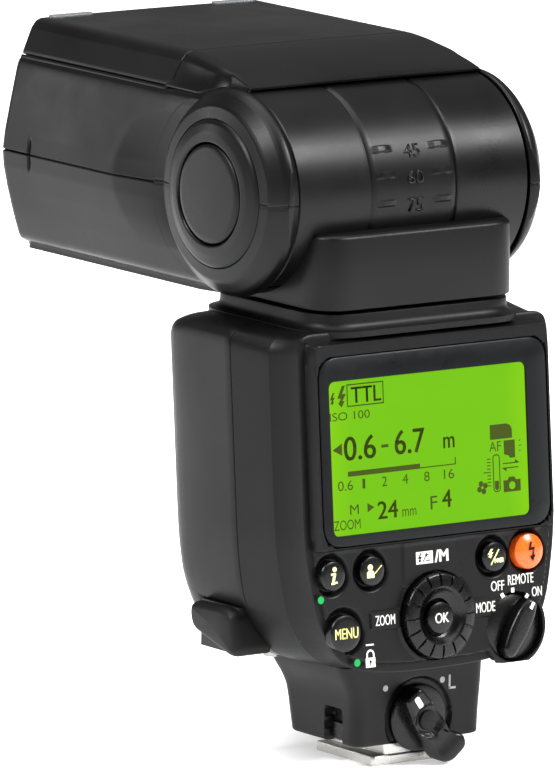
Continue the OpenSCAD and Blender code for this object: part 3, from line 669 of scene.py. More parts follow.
def upper_shell():
    """Both sides above the parting line, and the sloping roof behind the top cover, which
    runs on underneath it as a lowered ledge."""
    part = lambda y: np.full_like(y, PART_Z)
    spots = [PART_Z, 129.4]
    left = side_patch(-1, PART_Z, 129.95, part, step_line, spots)
    right = side_patch(1, PART_Z, 129.95, part, step_line, spots)
    y = STATIONS[STATIONS >= 9.2]
    shares = np.linspace(0, 1, 22)[:, None]
    roof = strip_loop(y[None, :], shares)
    under = roof.copy()
    count = len(shares)
    across = np.ones(roof.shape[0])
    across[:count] = shares[:, 0]
    across[-count:] = shares[::-1, 0]
    beyond = smooth(0.0, 0.25, roof[..., 1] - cover_start(across)[:, None] + 0.1)
    under[..., 2] -= 1.0 * beyond
    under[..., 0] *= 1 - 0.035 * beyond
    under[0, :, :] = roof[0]
    under[-1, :, :] = roof[-1]
    lip = roof[:, :1].copy()
    lip = np.concatenate([lip + [0, 0.6, -0.85], lip + [0, -0.12, -0.62], lip + [0, -0.25, -0.2]],
                         1)
    grids = [(left, False, True), (right, False, False), (under, False, True),
             (np.concatenate([lip, roof[:, :1]], 1), False, True),
             collar(-1, True), collar(1, True)]
    return piece("head_upper_shell_skin", grids, SHELL, "head", ["head_upper_shell"],
                 wall=0.7)


def top_cover():
    """The separate roof of the lamp house: its rear edge follows the seam, and its border is
    turned down so that a fine shadow line shows all round."""
    shares = np.linspace(0.006, 1, 24)[:, None]
    count = len(shares)
    across = np.ones(2 * count + 32)
    across[:count] = shares[:, 0]
    across[-count:] = shares[::-1, 0]
    v = np.concatenate([[0, 0.002, 0.006], np.linspace(0.012, 1, 60)])[None, :]
    start = cover_start(across)[:, None] + 0.12
    y = start + (HEAD_FRONT - start) * v
    grid = np.empty((len(across), v.shape[1], 3))
    for side, rows in ((-1, slice(0, count)), (1, slice(-count, None))):
        s = np.broadcast_to(across[rows, None], y[rows].shape)
        grid[rows] = upper_band(side, y[rows], s)
    a, b = grid[count - 1], grid[-count]
    t = np.linspace(0, 1, 34)[1:-1, None, None]
    grid[count:-count] = a[None] + (b - a)[None] * t
    grid[count:-count, :, 2] += 0.12 * np.sin(math.pi * t[..., 0])
    down = np.interp(v, [0, 0.002, 0.006, 0.012], [0.35, 0.12, 0.02, 0])
    grid[..., 2] -= down
    lowest = np.array([[0.30], [0.08]])
    grid[:2, :, 0] += lowest
    grid[-2:, :, 0] -= lowest[::-1]
    return piece("head_top_cover_skin", [(grid, False, True)], SHELL, "head",
                 ["head_top_cover"], wall=0.7)


lower_shell()
upper_shell()
top_cover()

# ---- hub rings and discs -----------------------------------------------------------------

RING_PROFILE = rounded(np.array([[14.55, -0.6], [14.55, 0.35], [13.9, 0.95], [11.9, 1.55],
                                 [10.35, 1.75], [10.0, 1.35], [10.0, -0.4]]), 0.35)
DISC_PROFILE = rounded(np.array([[9.75, -0.6], [9.75, 1.35], [9.3, 1.75], [8.6, 1.95],
                                 [0.0, 2.15]]), 0.4)


def hub_parts():
    """The raised ring and the inner disc of each hub, turned about the tilt axis."""
    rings = []
    for side in (-1, 1):
        centre = [side * 33.25, PIVOT[1], PIVOT[2]]
        rings.append((turned(RING_PROFILE, centre, [side, 0, 0], 160), True, False))
    piece("hub_rings_turned", rings, SHELL, "head", ["hub_rings"], sharp=50)
    for name, side, body in (("hub_disc", 1, "head"), ("release_button", -1, "release_button")):
        centre = [side * 33.25, PIVOT[1], PIVOT[2]]
        piece(name + "_turned", [(turned(DISC_PROFILE, centre, [side, 0, 0], 128), True, False)],
              SHELL, body, [name], sharp=50)


hub_parts()

# ---- body covers -------------------------------------------------------------------------

OUTLINES = np.array([      # right half of the body's outline near its face, at mid depth and
                           # at the seam, (x, row height)
    [[0, 87.1], [24, 87.1], [28.0, 87.1], [29.8, 86.3], [30.5, 84.0], [30.6, 77.2], [30.6, 45],
     [29.1, 36], [28.2, 32.2], [27.2, 29.3], [24.1, 24.2], [19.5, 21.2], [10, 19.9], [0, 19.8]],
    [[0, 87.1], [24, 87.1], [29.0, 86.6], [31.6, 85.6], [33, 83.6], [33, 77.2], [33, 45],
     [31.7, 36], [30.9, 32.2], [29.8, 29.5], [26.4, 24.3], [21, 21], [11, 19.9], [0, 19.8]],
    [[0, 87.1], [25, 87.1], [30, 86.9], [33.6, 86.2], [35, 84.4], [35, 77.2], [35, 44],
     [34.3, 36], [33.2, 32.2], [31.4, 27.6], [26.7, 22.7], [20, 20.3], [12, 19.7], [0, 19.7]]])
CORNER_CUTS = (1, 1.5, 1.5, 1.5, 0.02, 6, 3, 0.3, 3, 4, 4, 5)
DOOR_DEPTHS, TERMINAL_DEPTHS = (20.5, 35.5), (20.5, 32.4)


def face_up(z, depth):
    """Height up the leaning face of a point at row height z and the given depth."""
    return (z - FACE_ORIGIN[2] + depth * math.sin(FACE_TILT)) / math.cos(FACE_TILT)


def matched_outlines():
    """The outlines as closed clockwise loops with the same number of points, seen from the
    screen side, starting at the top middle."""
    half = rounded(OUTLINES, CORNER_CUTS)
    steps = np.linspace(0, half.shape[1] - 1, 3 * (half.shape[1] - 1) + 1)
    base = np.minimum(steps.astype(int), half.shape[1] - 2)
    share = (steps - base)[None, :, None]
    half = half[:, base] * (1 - share) + half[:, base + 1] * share
    other = half[:, -2:0:-1] * [-1, 1]
    return np.concatenate([half, other], 1)


LOOPS = matched_outlines()
COUNT = LOOPS.shape[1]


def column_of(corner):
    """Index of the loop point in the middle of a numbered corner on the right side."""
    return 3 * (1 + 5 * corner + 2)


def section(loop, depth, shrink=0.0, scale=1.0):
    """One closed row of the body: a loop moved in by shrink, scaled about the body's middle,
    and set at a depth behind the face."""
    p = inset(loop, -shrink) if shrink else loop.copy()
    middle = np.array([0.0, 53.4])
    p = middle + (p - middle) * scale
    return on_face(p[:, 0], depth, face_up(p[:, 1], depth))


def between(t):
    """The outline at share t of the way from the inner rim (0) to the crisp edge (1), and on
    to the seam (2)."""
    k = int(min(t, 1.999))
    return LOOPS[k] + (LOOPS[k + 1] - LOOPS[k]) * (t - k)


def rear_cover():
    """Ledge round the face, the light chamfer to the crisp edge, and the side to the seam:
    the outlines carried along depth."""
    rows = [section(LOOPS[0], 2.6, s) for s in (1.9, 0.8)]
    rows += [section(LOOPS[0], d, s) for s, d in ((0.35, 2.62), (0.1, 2.8), (0, 3.3))]
    for t in np.linspace(0.1, 0.94, 9):
        rows.append(section(between(t), 3.3 + 5.7 * t, 0.3 * math.sin(math.pi * t)))
    rows += [section(between(0.98), 8.85), section(between(1.0), 9.1),
             section(between(1.03), 9.4)]
    for t in np.linspace(1.08, 1.985, 9):
        rows.append(section(between(t), 9 + (SEAM - 9) * (t - 1)))
    rows += [section(LOOPS[2], SEAM - 0.05, 0.12), section(LOOPS[2], SEAM, 0.35),
             section(LOOPS[2], SEAM, 1.4)]
    return np.array(rows)


def side_region(points, first, last, depths, right):
    """Mask of the faces of a cover grid between two numbered corners and two depths."""
    lo, hi = column_of(first), column_of(last)
    columns = np.arange(COUNT)
    inside = (columns >= lo) & (columns < hi)
    if not right:
        inside = (columns >= COUNT - hi) & (columns < COUNT - lo)
    depth = (points[:-1, 0] - FACE_ORIGIN) @ [0, math.cos(FACE_TILT), -math.sin(FACE_TILT)]
    return inside[None, :] & ((depth > depths[0] - 0.02) & (depth < depths[1] - 0.02))[:, None]


FRONT_ROWS = [(1.4, SEAM + 0.1, 1), (0.35, SEAM + 0.1, 1), (0.1, SEAM + 0.15, 1), (0, 18.9, 1),
              (0, DOOR_DEPTHS[0], 1), (0, 24, 1), (0, 28, 1), (0, TERMINAL_DEPTHS[1], 0.998),
              (0, DOOR_DEPTHS[1], 0.991), (0, 37.5, 0.984), (0, 39.5, 0.965),
              (0, 40.5, 0.94), (0, 41.15, 0.90), (0, 41.45, 0.84), (0, BODY_DEPTH, 0.5),
              (0, BODY_DEPTH, 0.25), (0, BODY_DEPTH, 0.0)]


def front_cover():
    """The seam outline carried forward and rounded into the front, with openings left for
    the battery door and the terminals."""
    return np.array([section(LOOPS[2], d, s, k) for s, d, k in FRONT_ROWS])


def battery_door():
    """The battery door: the body's outline over its opening, a hair proud, its border turned
    in, with raised grip ribs near its lower edge."""
    lo, hi = column_of(4), column_of(7)
    c = np.concatenate([[lo, lo], np.arange(lo, hi + 1), [hi, hi]])
    depths = np.concatenate([[20.7, 20.7], np.linspace(20.7, 35.3, 50), [35.3, 35.3]])
    loop = LOOPS[2][c]
    scale = np.interp(depths, [28, 32.4, 35.5], [1, 0.998, 0.991])
    shape = (len(depths), len(c))
    x, z = np.broadcast_to(loop[:, 0], shape), np.broadcast_to(loop[:, 1], shape)
    z = z - 0.25 * (np.arange(len(c)) == 2) + 0.25 * (np.arange(len(c)) == len(c) - 3)
    border = np.zeros_like(x)
    border[[0, -1]] = 0.9
    border[:, [0, -1]] = 0.9
    border[[1, -2]] = np.maximum(border[[1, -2]], 0.12)
    ribs = 0.35 * smooth(0.2, 0.7, np.sin((depths - 22) * 2.4))[:, None]
    ribs = ribs * ((z < 45) & (z > 37)) * ((depths > 23) & (depths < 34))[:, None]
    x = x * scale[:, None] + 0.06 - border + ribs
    d = np.broadcast_to(depths[:, None], x.shape)
    return on_face(x, d, face_up(z, d))


def loop_distance(x, up, loop):
    """Distance inside a closed loop: to its nearest side, negative outside."""
    best, inside = np.full(x.shape, 1e9), np.zeros(x.shape, bool)
    for (ax, au), (bx, bu) in zip(loop, np.roll(loop, -1, 0)):
        run, rise = bx - ax, bu - au
        t = np.clip(((x - ax) * run + (up - au) * rise) / (run ** 2 + rise ** 2 + 1e-12), 0, 1)
        best = np.minimum(best, np.hypot(x - ax - t * run, up - au - t * rise))
        crossed = (au > up) != (bu > up)
        inside ^= crossed & (x < run * (up - au) / (rise if rise else 1e-12) + ax)
    return np.where(inside, best, -best)


def box_distance(x, up, centre, half, radius):
    """Distance outside a rectangle with rounded corners, negative inside."""
    a = np.abs(x - centre[0]) - half[0] + radius
    b = np.abs(up - centre[1]) - half[1] + radius
    return np.hypot(np.maximum(a, 0), np.maximum(b, 0)) + np.minimum(np.maximum(a, b), 0) - radius


BEZEL_MIDDLE, BEZEL_HALF, BEZEL_CORNER = (0.0, -5.6), (27.7, 18.46), 3.8
DIAL = face_place("selector_dial")[:2]
SWITCH = face_place("power_switch")[:2]
BUTTONS = {n: face_place(n + "_button") for n in
           ("info", "remote", "link", "test", "menu", "ok")}


def panel_depth(x, up):
    """Depth of the moulded face: the screen's surround, a step down to the button panel, a
    low plateau round the dial with its two name plates, scooped wells round the buttons, the
    switch's boss and recess, and a groove round the outside."""
    base = PANEL * smooth(-24.35, -24.75, up)
    dial = np.hypot(x - DIAL[0], up - DIAL[1])
    plateau = np.minimum(dial - 9.35, box_distance(x, up, (-11.4, -39.2), (5.0, 1.9), 0.5))
    plateau = np.minimum(plateau, box_distance(x, up, (9.8, -39.1), (4.9, 1.9), 0.5))
    lean = 0.12 * (up + 24) * (x > DIAL[0])
    plateau = np.minimum(plateau, box_distance(x + lean, up, (-1.55, -28.2), (6.45, 5.2), 0.4))
    base = base - 0.42 * smooth(0.12, -0.12, plateau)
    bead = box_distance(x, up, BEZEL_MIDDLE, BEZEL_HALF, BEZEL_CORNER)
    base = base - 0.3 * np.exp(-((bead - 0.75) / 0.34) ** 2)
    base = np.where(bead < 0.1, 1.2, base)
    knob = np.hypot(x - SWITCH[0], up - SWITCH[1])
    inner = loop_distance(x, up, RIM)
    deep = base + (2.78 - base) * (1 - smooth(1.5, 2.25, inner))
    for name, (floor_r, edge_r, drop) in WELLS.items():
        at = BUTTONS[name]
        away = np.hypot(x - at[0], up - at[1])
        deep = np.maximum(deep, base + drop * smooth(edge_r, floor_r, away))
    deep = np.maximum(deep, 2.9 * (dial < 8.75))
    skirt = PANEL + 0.4 * smooth(7.4, 7.85, knob) + 5 * smooth(7.8, 8.1, knob)
    deep = np.where((knob < 8.15) & (inner < 2.6), np.minimum(deep, skirt), deep)
    return np.where(knob < 6.85, PANEL + 2.6 * smooth(6.85, 6.6, knob), deep)


WELLS = {"info": (3.15, 4.5, 1.3), "remote": (3.15, 4.4, 1.3), "link": (3.15, 4.4, 1.3),
         "test": (3.6, 4.7, 1.2), "menu": (3.8, 5.3, 1.5)}
RIM = np.column_stack([LOOPS[0][:, 0], face_up(LOOPS[0][:, 1], 2.6)])


def face_panel():
    """The moulded face as a height field over (x, up), kept where it lies inside the rim."""
    columns = np.arange(-29.6, 29.61, 0.23)
    up = np.concatenate([np.arange(-50.6, -23.6, 0.2), np.arange(-23.6, 12.0, 0.9),
                         np.arange(12.0, 17.2, 0.25)])
    x, u = np.meshgrid(columns, up)
    points = on_face(x, panel_depth(x, u), u)
    x, u = (x[1:, 1:] + x[:-1, :-1]) / 2, (u[1:, 1:] + u[:-1, :-1]) / 2
    boss = np.hypot(x - SWITCH[0], u - SWITCH[1]) < 8.0
    return points, (loop_distance(x, u, RIM) > 1.0) | boss


def build_body():
    """Rear cover with its face, front cover with its two openings, and the battery door."""
    points, keep = face_panel()
    piece("rear_cover_skin", [(rear_cover(), True, False), (points, False, True, keep)],
          CASE, "body", ["rear_cover"], sharp=32)
    front = front_cover()
    holes = side_region(front, 4, 7, DOOR_DEPTHS, True)
    holes |= side_region(front, 7, 8, TERMINAL_DEPTHS, False)
    piece("front_cover_skin", [(front, True, False, ~holes)], CASE, "body", ["front_cover"],
          wall=1.2, sharp=32)
    piece("battery_door_skin", [(battery_door(), False, False)], CASE, "battery_door",
          ["battery_door"], wall=1.1, sharp=32)


build_body()

# ---- screen ------------------------------------------------------------------------------

GLASS_TOP, GLASS_LEFT, GLASS_WIDE, GLASS_TALL = face_up(78.1, 0.3), -25.4, 48.0, 30.1


def frame_loop(middle, half, radius):
    """A rectangle with rounded corners, clockwise from the top left."""
    a, b = half
    corners = np.array([[-a, b], [a, b], [a, -b], [-a, -b]]) + middle
    return ring(corners, radius, 9)


def screen_frame():
    """The printed border: an outer and an inner rounded rectangle joined by a flat face with
    a small polished chamfer at each."""
    outer = frame_loop(BEZEL_MIDDLE, BEZEL_HALF, BEZEL_CORNER + 0.9)
    window = np.array([GLASS_LEFT + GLASS_WIDE / 2, GLASS_TOP - GLASS_TALL / 2])
    inner = frame_loop(window, (GLASS_WIDE / 2, GLASS_TALL / 2), 1.6)
    rows = []
    for loop, shrink, depth in ((outer, 0.12, 1.3), (outer, 0.12, 0.1), (outer, 0.4, -0.08),
                                (inner, 0, -0.08), (inner, 0.1, 0.35)):
        p = inset(loop, -shrink)
        rows.append(on_face(p[:, 0], depth, p[:, 1]))
    piece("screen_bezel_printed", [(np.array(rows), True, False)], BORDER, "body",
          ["screen_bezel"])
    pad = frame_loop(window, (GLASS_WIDE / 2 + 0.4, GLASS_TALL / 2 + 0.4), 1.6)
    place = lambda a, b, h: on_face(a, h, b)
    piece("lcd_glass_lit", [(slab(pad, [(0, 1.1), (0, 0.3)], place), True, True)], SCREEN,
          "body", ["lcd_panel"])


screen_frame()

# ---- printed and displayed signs ---------------------------------------------------------


def type_shape(text):
    """Plain outline type as flat points and faces, scaled to a unit box about its middle."""
    data = bpy.data.curves.new("type", "FONT")
    data.body = text
    holder = bpy.data.objects.new("type", data)
    bpy.context.scene.collection.objects.link(holder)
    bpy.context.view_layer.update()
    mesh = bpy.data.meshes.new_from_object(
        holder.evaluated_get(bpy.context.evaluated_depsgraph_get()))
    flat = np.empty(len(mesh.vertices) * 3)
    mesh.vertices.foreach_get("co", flat)
    flat = flat.reshape(-1, 3)[:, :2]
    faces = [list(f.vertices) for f in mesh.polygons]
    bpy.data.objects.remove(holder)
    low, high = flat.min(0), flat.max(0)
    return (flat - low) / (high - low) - 0.5, faces


def outline_shape(points):
    """A single flat polygon of given corners, wound so that it faces outward."""
    p = np.asarray(points, float)
    area = np.sum(p[:, 0] * np.roll(p[:, 1], -1) - np.roll(p[:, 0], -1) * p[:, 1])
    return (p if area > 0 else p[::-1]), [list(range(len(p)))]


def disc_shape(middle, radius, sides=20, start=0.0, sweep=2 * math.pi):
    """A flat disc or sector drawn as a polygon."""
    a = start + np.linspace(0, sweep, sides, endpoint=sweep < 6)
    return outline_shape(np.column_stack([middle[0] + radius * np.cos(a),
                                          middle[1] + radius * np.sin(a)]))


def bar_shape(a, b, width):
    """A straight bar of the given width from a to b."""
    a, b = np.asarray(a, float), np.asarray(b, float)
    side = np.array([a[1] - b[1], b[0] - a[0]]) / (np.linalg.norm(b - a) + 1e-9) * width / 2
    return outline_shape([a + side, a - side, b - side, b + side])


def lettering(name, shapes, place, material, body):
    """All the signs of one ink on one body as one mesh; place turns (a, b) into row places."""
    points, faces, base = [], [], 0
    for flat, polygons in shapes:
        points.append(place(flat[:, 0], flat[:, 1]))
        faces += [[k + base for k in polygon] for polygon in polygons]
        base += len(flat)
    return solid(name, np.vstack(points), faces, material, body)


def printed(text, x, up, width, height, bold=0.004, turn=0.0):
    """A word centred at (x, up), fitted to a width and a height."""
    flat, faces = type_shape(text)
    shifts = np.array([[0, 0], [-1, 0], [1, 0], [0, 0.6]]) * bold * 9 if bold else np.zeros((1, 2))
    p = flat * [width - 18 * bold, height]
    p = np.vstack([p + shift for shift in shifts])
    faces = [[k + i * len(flat) for k in f] for i in range(len(shifts)) for f in faces]
    c, s = math.cos(turn), math.sin(turn)
    return np.column_stack([p[:, 0] * c - p[:, 1] * s + x, p[:, 0] * s + p[:, 1] * c + up]), faces


BOLT = np.array([[0.55, 1], [0.0, 0.42], [0.38, 0.42], [0.16, 0.22], [0.05, 0.22], [0.45, 0],
                 [0.8, 0.3], [0.55, 0.3], [0.98, 0.62], [0.55, 0.62], [0.9, 1]])


def display_signs():
    """The screen's dark segments: distances are mm right of and below the lit area's corner."""
    def word(text, x0, x1, z0, z1, bold=0.0):
        """Text that fills the box between two corners."""
        return printed(text, (x0 + x1) / 2, -(z0 + z1) / 2, x1 - x0, z1 - z0, bold)

    def line(x0, z0, x1, z1, width=0.28):
        """A straight bar between two points."""
        return bar_shape((x0, -z0), (x1, -z1), width)

    def shape(*corners):
        """A filled outline through the corners."""
        return outline_shape([(x, -z) for x, z in corners])

    signs = [word("TTL", 5.5, 12.8, 1.5, 4.6, 0.008), word("ISO 100", 0.2, 9.9, 6.1, 7.7),
             word("0.6", 3.3, 11.1, 11.0, 15.6, 0.012), word("-", 12.4, 14.1, 13.2, 13.8),
             word("6.7", 15.6, 23.0, 10.8, 15.5, 0.012), word("m", 27.4, 30.2, 13.1, 15.3, 0.008),
             word("24", 10.9, 15.9, 24.2, 27.6, 0.01), word("mm", 16.9, 20.3, 26.2, 27.6),
             word("F", 23.8, 25.5, 24.3, 26.9), word("4", 26.6, 29.0, 23.4, 26.8, 0.01),
             word("ZOOM", 0.3, 6.7, 27.0, 28.9), word("M", 4.3, 6.4, 24.2, 26.1),
             word("AF", 38.6, 41.5, 15.1, 17.0)]
    signs += [word(t, x0, x1, 19.4, 21.3) for t, x0, x1 in
              (("0.6", 1.6, 5.2), ("1", 7.5, 8.2), ("2", 12.2, 13.5), ("4", 17.2, 18.6),
               ("8", 22.5, 23.8), ("16", 27.3, 29.8))]
    signs += [line(4.5, 0.95, 13.4, 0.95, 0.25), line(4.5, 5.1, 13.4, 5.1, 0.25),
              line(4.62, 0.9, 4.62, 5.1, 0.25), line(13.28, 0.9, 13.28, 5.1, 0.25)]
    signs += [outline_shape(BOLT * [2.2, 4.2] + [2.2, -5.2]),
              outline_shape(BOLT * [1.3, 2.4] + [0.4, -4.6]),
              shape((0.6, 13.3), (2.9, 12.1), (2.9, 14.5)),
              shape((8.5, 24.2), (8.5, 26.0), (10.2, 25.1)),
              shape((4.1, 17.7), (21.6, 17.7), (21.6, 18.7), (4.1, 18.7)),
              line(21.6, 18.55, 30.3, 18.55, 0.22), line(30.2, 17.2, 30.2, 18.6, 0.25)]
    signs += [shape((38.9, 14.7), (38.9, 11.8), (43.0, 11.8), (43.9, 12.2), (44.3, 13.0),
                    (44.3, 14.7)),
              shape((42.2, 15.1), (44.9, 15.1), (44.9, 18.6), (43.6, 18.6), (43.3, 18.1),
                    (42.2, 17.8)),
              line(41.8, 19.6, 45.4, 19.6, 0.22), shape((45.9, 19.7), (44.8, 18.9), (44.8, 19.7)),
              line(42.0, 20.5, 45.6, 20.5, 0.22), shape((41.5, 20.4), (42.7, 21.2), (42.7, 20.4))]
    signs += [line(45.9, 15.4 + k, 46.3 + 0.2 * (k % 2), 15.3 + k, 0.2) for k in range(3)]
    tube = ring(np.array([[39.3, -17.6], [41.1, -17.6], [41.1, -25.0], [39.3, -25.0]]), 0.8, 5)
    inner = inset(tube, -0.24)
    signs += [(np.vstack([tube, inner]),
               [[k, (k + 1) % len(tube), len(tube) + (k + 1) % len(tube), len(tube) + k][::-1]
                for k in range(len(tube))]),
              shape((39.7, 22.8), (40.7, 22.8), (40.7, 24.3), (40.2, 24.7), (39.7, 24.3))]
    signs += [line(37.9 - 0.9 * (k == 4), 18.4 + 0.65 * k, 38.8, 18.4 + 0.65 * k, 0.2)
              for k in range(9)]
    signs += [shape((41.8, 25.2), (41.8, 22.9), (42.8, 22.9), (43.2, 22.3), (44.5, 22.3),
                    (44.9, 22.9), (46.0, 22.9), (46.0, 25.2))]
    for k in range(4):
        a = k * math.pi / 2 + 0.4
        signs.append(disc_shape((36.6 + 0.8 * math.cos(a), -23.8 + 0.8 * math.sin(a)), 0.58, 12))
    place = lambda a, b: on_face(GLASS_LEFT + a, 0.26, GLASS_TOP + b)
    lettering("lcd_segments", signs, place, PIXEL, "body")
    lens = [disc_shape((43.9, -24.0), 0.78, 20)]
    place_top = lambda a, b: on_face(GLASS_LEFT + a, 0.22, GLASS_TOP + b)
    lettering("lcd_lens_mark", lens, place_top, SCREEN, "body")


def panel_signs():
    """The printed words, ticks and marks on the button panel."""
    lift = PANEL - 0.03
    flat = lambda a, b: on_face(a, lift, b)
    raised = lambda a, b: on_face(a, lift - 0.425, b)
    white = [printed("OFF", 15.0, -35.3, 3.3, 1.95), printed("REMOTE", 20.7, -34.5, 6.3, 2.0),
             printed("ON", 24.6, -37.3, 2.5, 1.9)]
    for (x, up), turn in (((16.1, -37.3), -0.5), ((18.65, -36.5), 0.0), ((22.1, -38.0), 0.75)):
        out = np.array([math.sin(turn), math.cos(turn)]) * 0.45
        white.append(bar_shape(np.array([x, up]) - out, np.array([x, up]) + out, 0.78))
    lock = [bar_shape((-17.6, -43.7), (-15.7, -43.7), 0.3),
            outline_shape([(-17.75, -46.2), (-15.45, -46.2), (-15.45, -48.1), (-17.75, -48.1)])]
    a = np.linspace(0, math.pi, 13)
    arc = np.column_stack([np.cos(a), np.sin(a)])
    shackle = np.vstack([arc * 0.98, arc[::-1] * 0.62]) + [-16.6, -45.6]
    lock.append((shackle, [[k, k + 1, 24 - k, 25 - k] for k in range(12)]))
    lock += [bar_shape((-17.4, -45.6), (-17.4, -46.3), 0.36),
             bar_shape((-15.8, -45.6), (-15.8, -46.3), 0.36)]
    lettering("panel_words", white + lock, flat, WHITE_INK_PAINTED_GLOW, "body")
    lettering("lock_keyhole", [disc_shape((-16.6, -47.0), 0.3), bar_shape((-16.6, -47.1),
              (-16.6, -47.7), 0.25)], lambda a, b: on_face(a, lift - 0.02, b), BLACK_INK, "body")
    words = [printed("ZOOM", -13.0, -39.2, 4.8, 2.0), printed("MODE", 11.55, -39.1, 4.7, 2.0),
             printed("/M", 1.2, -28.0, 3.4, 2.4, 0.014),
             outline_shape([(-5.0, -26.8), (-0.9, -26.8), (-0.9, -29.2), (-5.0, -29.2)])]
    lettering("plate_words", words, raised, WHITE_INK_PAINTED_GLOW, "body")
    marks = [outline_shape(BOLT * [1.1, 1.9] + [-4.6, -28.95]),
             bar_shape((-3.4, -28.9), (-2.3, -27.1), 0.22), bar_shape((-2.9, -27.5),
             (-1.9, -27.5), 0.22), bar_shape((-2.4, -27.05), (-2.4, -27.95), 0.22),
             bar_shape((-2.6, -28.6), (-1.5, -28.6), 0.22)]
    lettering("compensation_mark", marks, lambda a, b: on_face(a, lift - 0.45, b), BLACK_INK,
              "body")
    lettering("green_dots", [disc_shape((-28.0, -33.9), 0.75), disc_shape((-19.8, -46.9), 0.75)],
              flat, GREEN, "body")


display_signs()
panel_signs()

# ---- controls ----------------------------------------------------------------------------

OUT = on_face(0, -1, 0) - on_face(0, 0, 0)


def button(name, radius, crown, material, front=0.75):
    """A turned cap: straight flank, small polished chamfer and a slightly domed face, whose
    edge stands at depth front. Returns the depth of the middle of the face."""
    x, up = BUTTONS[name][:2]
    profile = np.array([[radius, -3.6], [radius, -0.25], [radius - 0.14, -0.05],
                        [radius - 0.42, 0.07], [radius * 0.7, 0.07 + crown * 0.5],
                        [radius * 0.35, 0.07 + crown * 0.9], [0, 0.07 + crown]])
    centre = on_face(x, front, up)
    piece(name + "_button_cap", [(turned(profile, centre, OUT, 72), True, False)], material,
          name + "_button", [name + "_button"], sharp=28)
    return front - 0.07 - crown - 0.03


def controls():
    """The six buttons, each with its mark, the grooved dial and the power switch."""
    for name, radius in (("info", 2.9), ("remote", 2.9), ("link", 2.9)):
        depth = button(name, radius, 0.12, CONTROL)
        x, up = BUTTONS[name][:2]
        place = lambda a, b, x=x, up=up, depth=depth: on_face(x + a, depth, up + b)
        lettering(name + "_mark", BUTTON_MARKS[name](), place, PALE_INK_PAINTED_GLOW, name + "_button")
    depth = button("menu", 3.6, 0.1, CONTROL, 0.7)
    x, up = BUTTONS["menu"][:2]
    lettering("menu_word", [printed("MENU", 0, 0, 5.6, 2.05, 0.004)],
              lambda a, b: on_face(x + a, depth, up + b), PALE_INK_PAINTED_GLOW, "menu_button")
    depth = button("test", 3.45, 0.75, ORANGE, 0.65)
    tx, tup = BUTTONS["test"][:2]
    lettering("test_mark", [outline_shape([(-0.35, 1.9), (-0.95, 0.3), (0.25, 0.35),
                                           (-0.1, -0.9), (-0.7, -0.75), (0.25, -2.0),
                                           (0.75, -0.55), (0.3, -0.65), (0.65, 0.9),
                                           (-0.35, 0.85), (0.1, 1.9)])],
              lambda a, b: on_face(tx + a, depth - 0.16 + 0.062 * (a ** 2 + b ** 2), tup + b),
              BLACK_INK, "test_button")
    depth = button("ok", 3.15, 0.25, CONTROL, -0.35)
    ox, oup = BUTTONS["ok"][:2]
    lettering("ok_word", [printed("OK", 0, 0, 3.4, 1.95, 0.006)],
              lambda a, b: on_face(ox + a, depth, oup + b), WHITE_INK_PAINTED_GLOW, "ok_button")
    dial()
    power_switch()


BUTTON_MARKS = {
    "info": lambda: [disc_shape((0.15, 1.3), 0.5), bar_shape((-0.75, 0.35), (0.35, 0.45), 0.4),
                     bar_shape((0.2, 0.6), (-0.35, -1.4), 0.62),
                     bar_shape((-0.75, -1.5), (0.75, -1.25), 0.4)],
    "remote": lambda: [disc_shape((-0.75, 0.75), 0.62),
                       outline_shape([(-1.6, -1.3), (0.2, -1.3), (0.2, -0.3), (-0.2, 0.1),
                                      (-1.2, 0.1), (-1.6, -0.3)])]
    + [bar_shape((0.35 + 0.35 * k, -0.55 + 0.32 * k), (1.0 + 0.35 * k, 0.1 + 0.28 * k), 0.2)
       for k in range(4)],
    "link": lambda: [outline_shape(BOLT * [1.5, 1.8] + [-1.9, -0.2]),
                     bar_shape((-1.15, -1.5), (0.9, 1.4), 0.26),
                     outline_shape([(0.95, -1.2), (1.9, -1.2), (1.9, -0.3), (0.95, -0.3)]),
                     disc_shape((0.5, -0.75), 0.42, 12), bar_shape((-0.15, -1.2), (-0.15, -0.3),
                                                                   0.2)],
}


def dial():
    """The selector ring: (r, a) to depth by a profile with a dished middle, and sixteen
    fine radial cuts in its outer face."""
    profile = np.array([[8.4, 3.2], [8.4, 0.2], [8.33, -0.3], [8.1, -0.6], [7.2, -0.82],
                        [6.2, -0.95], [5.75, -0.98], [5.45, -0.75], [4.9, -0.1], [4.3, 0.42],
                        [3.7, 0.7], [3.4, 0.75], [3.3, 0.9], [3.3, 3.0]])
    r, depth = finer(profile, 0.28).T
    a = np.linspace(0, 2 * math.pi, 720, endpoint=False)[None, :]
    r, depth = r[:, None], depth[:, None]
    step = 2 * math.pi / 16
    away = np.abs((a + step / 2) % step - step / 2) * r
    cut = 0.5 * smooth(0.24, 0.12, away) * smooth(5.75, 5.95, r) * (depth < 1.6)
    return piece("selector_dial_ring",
                 [(on_face(DIAL[0] + r * np.cos(a), depth + cut, DIAL[1] + r * np.sin(a)),
                   True, True)], CONTROL, "selector_dial", ["selector_dial"], sharp=40)


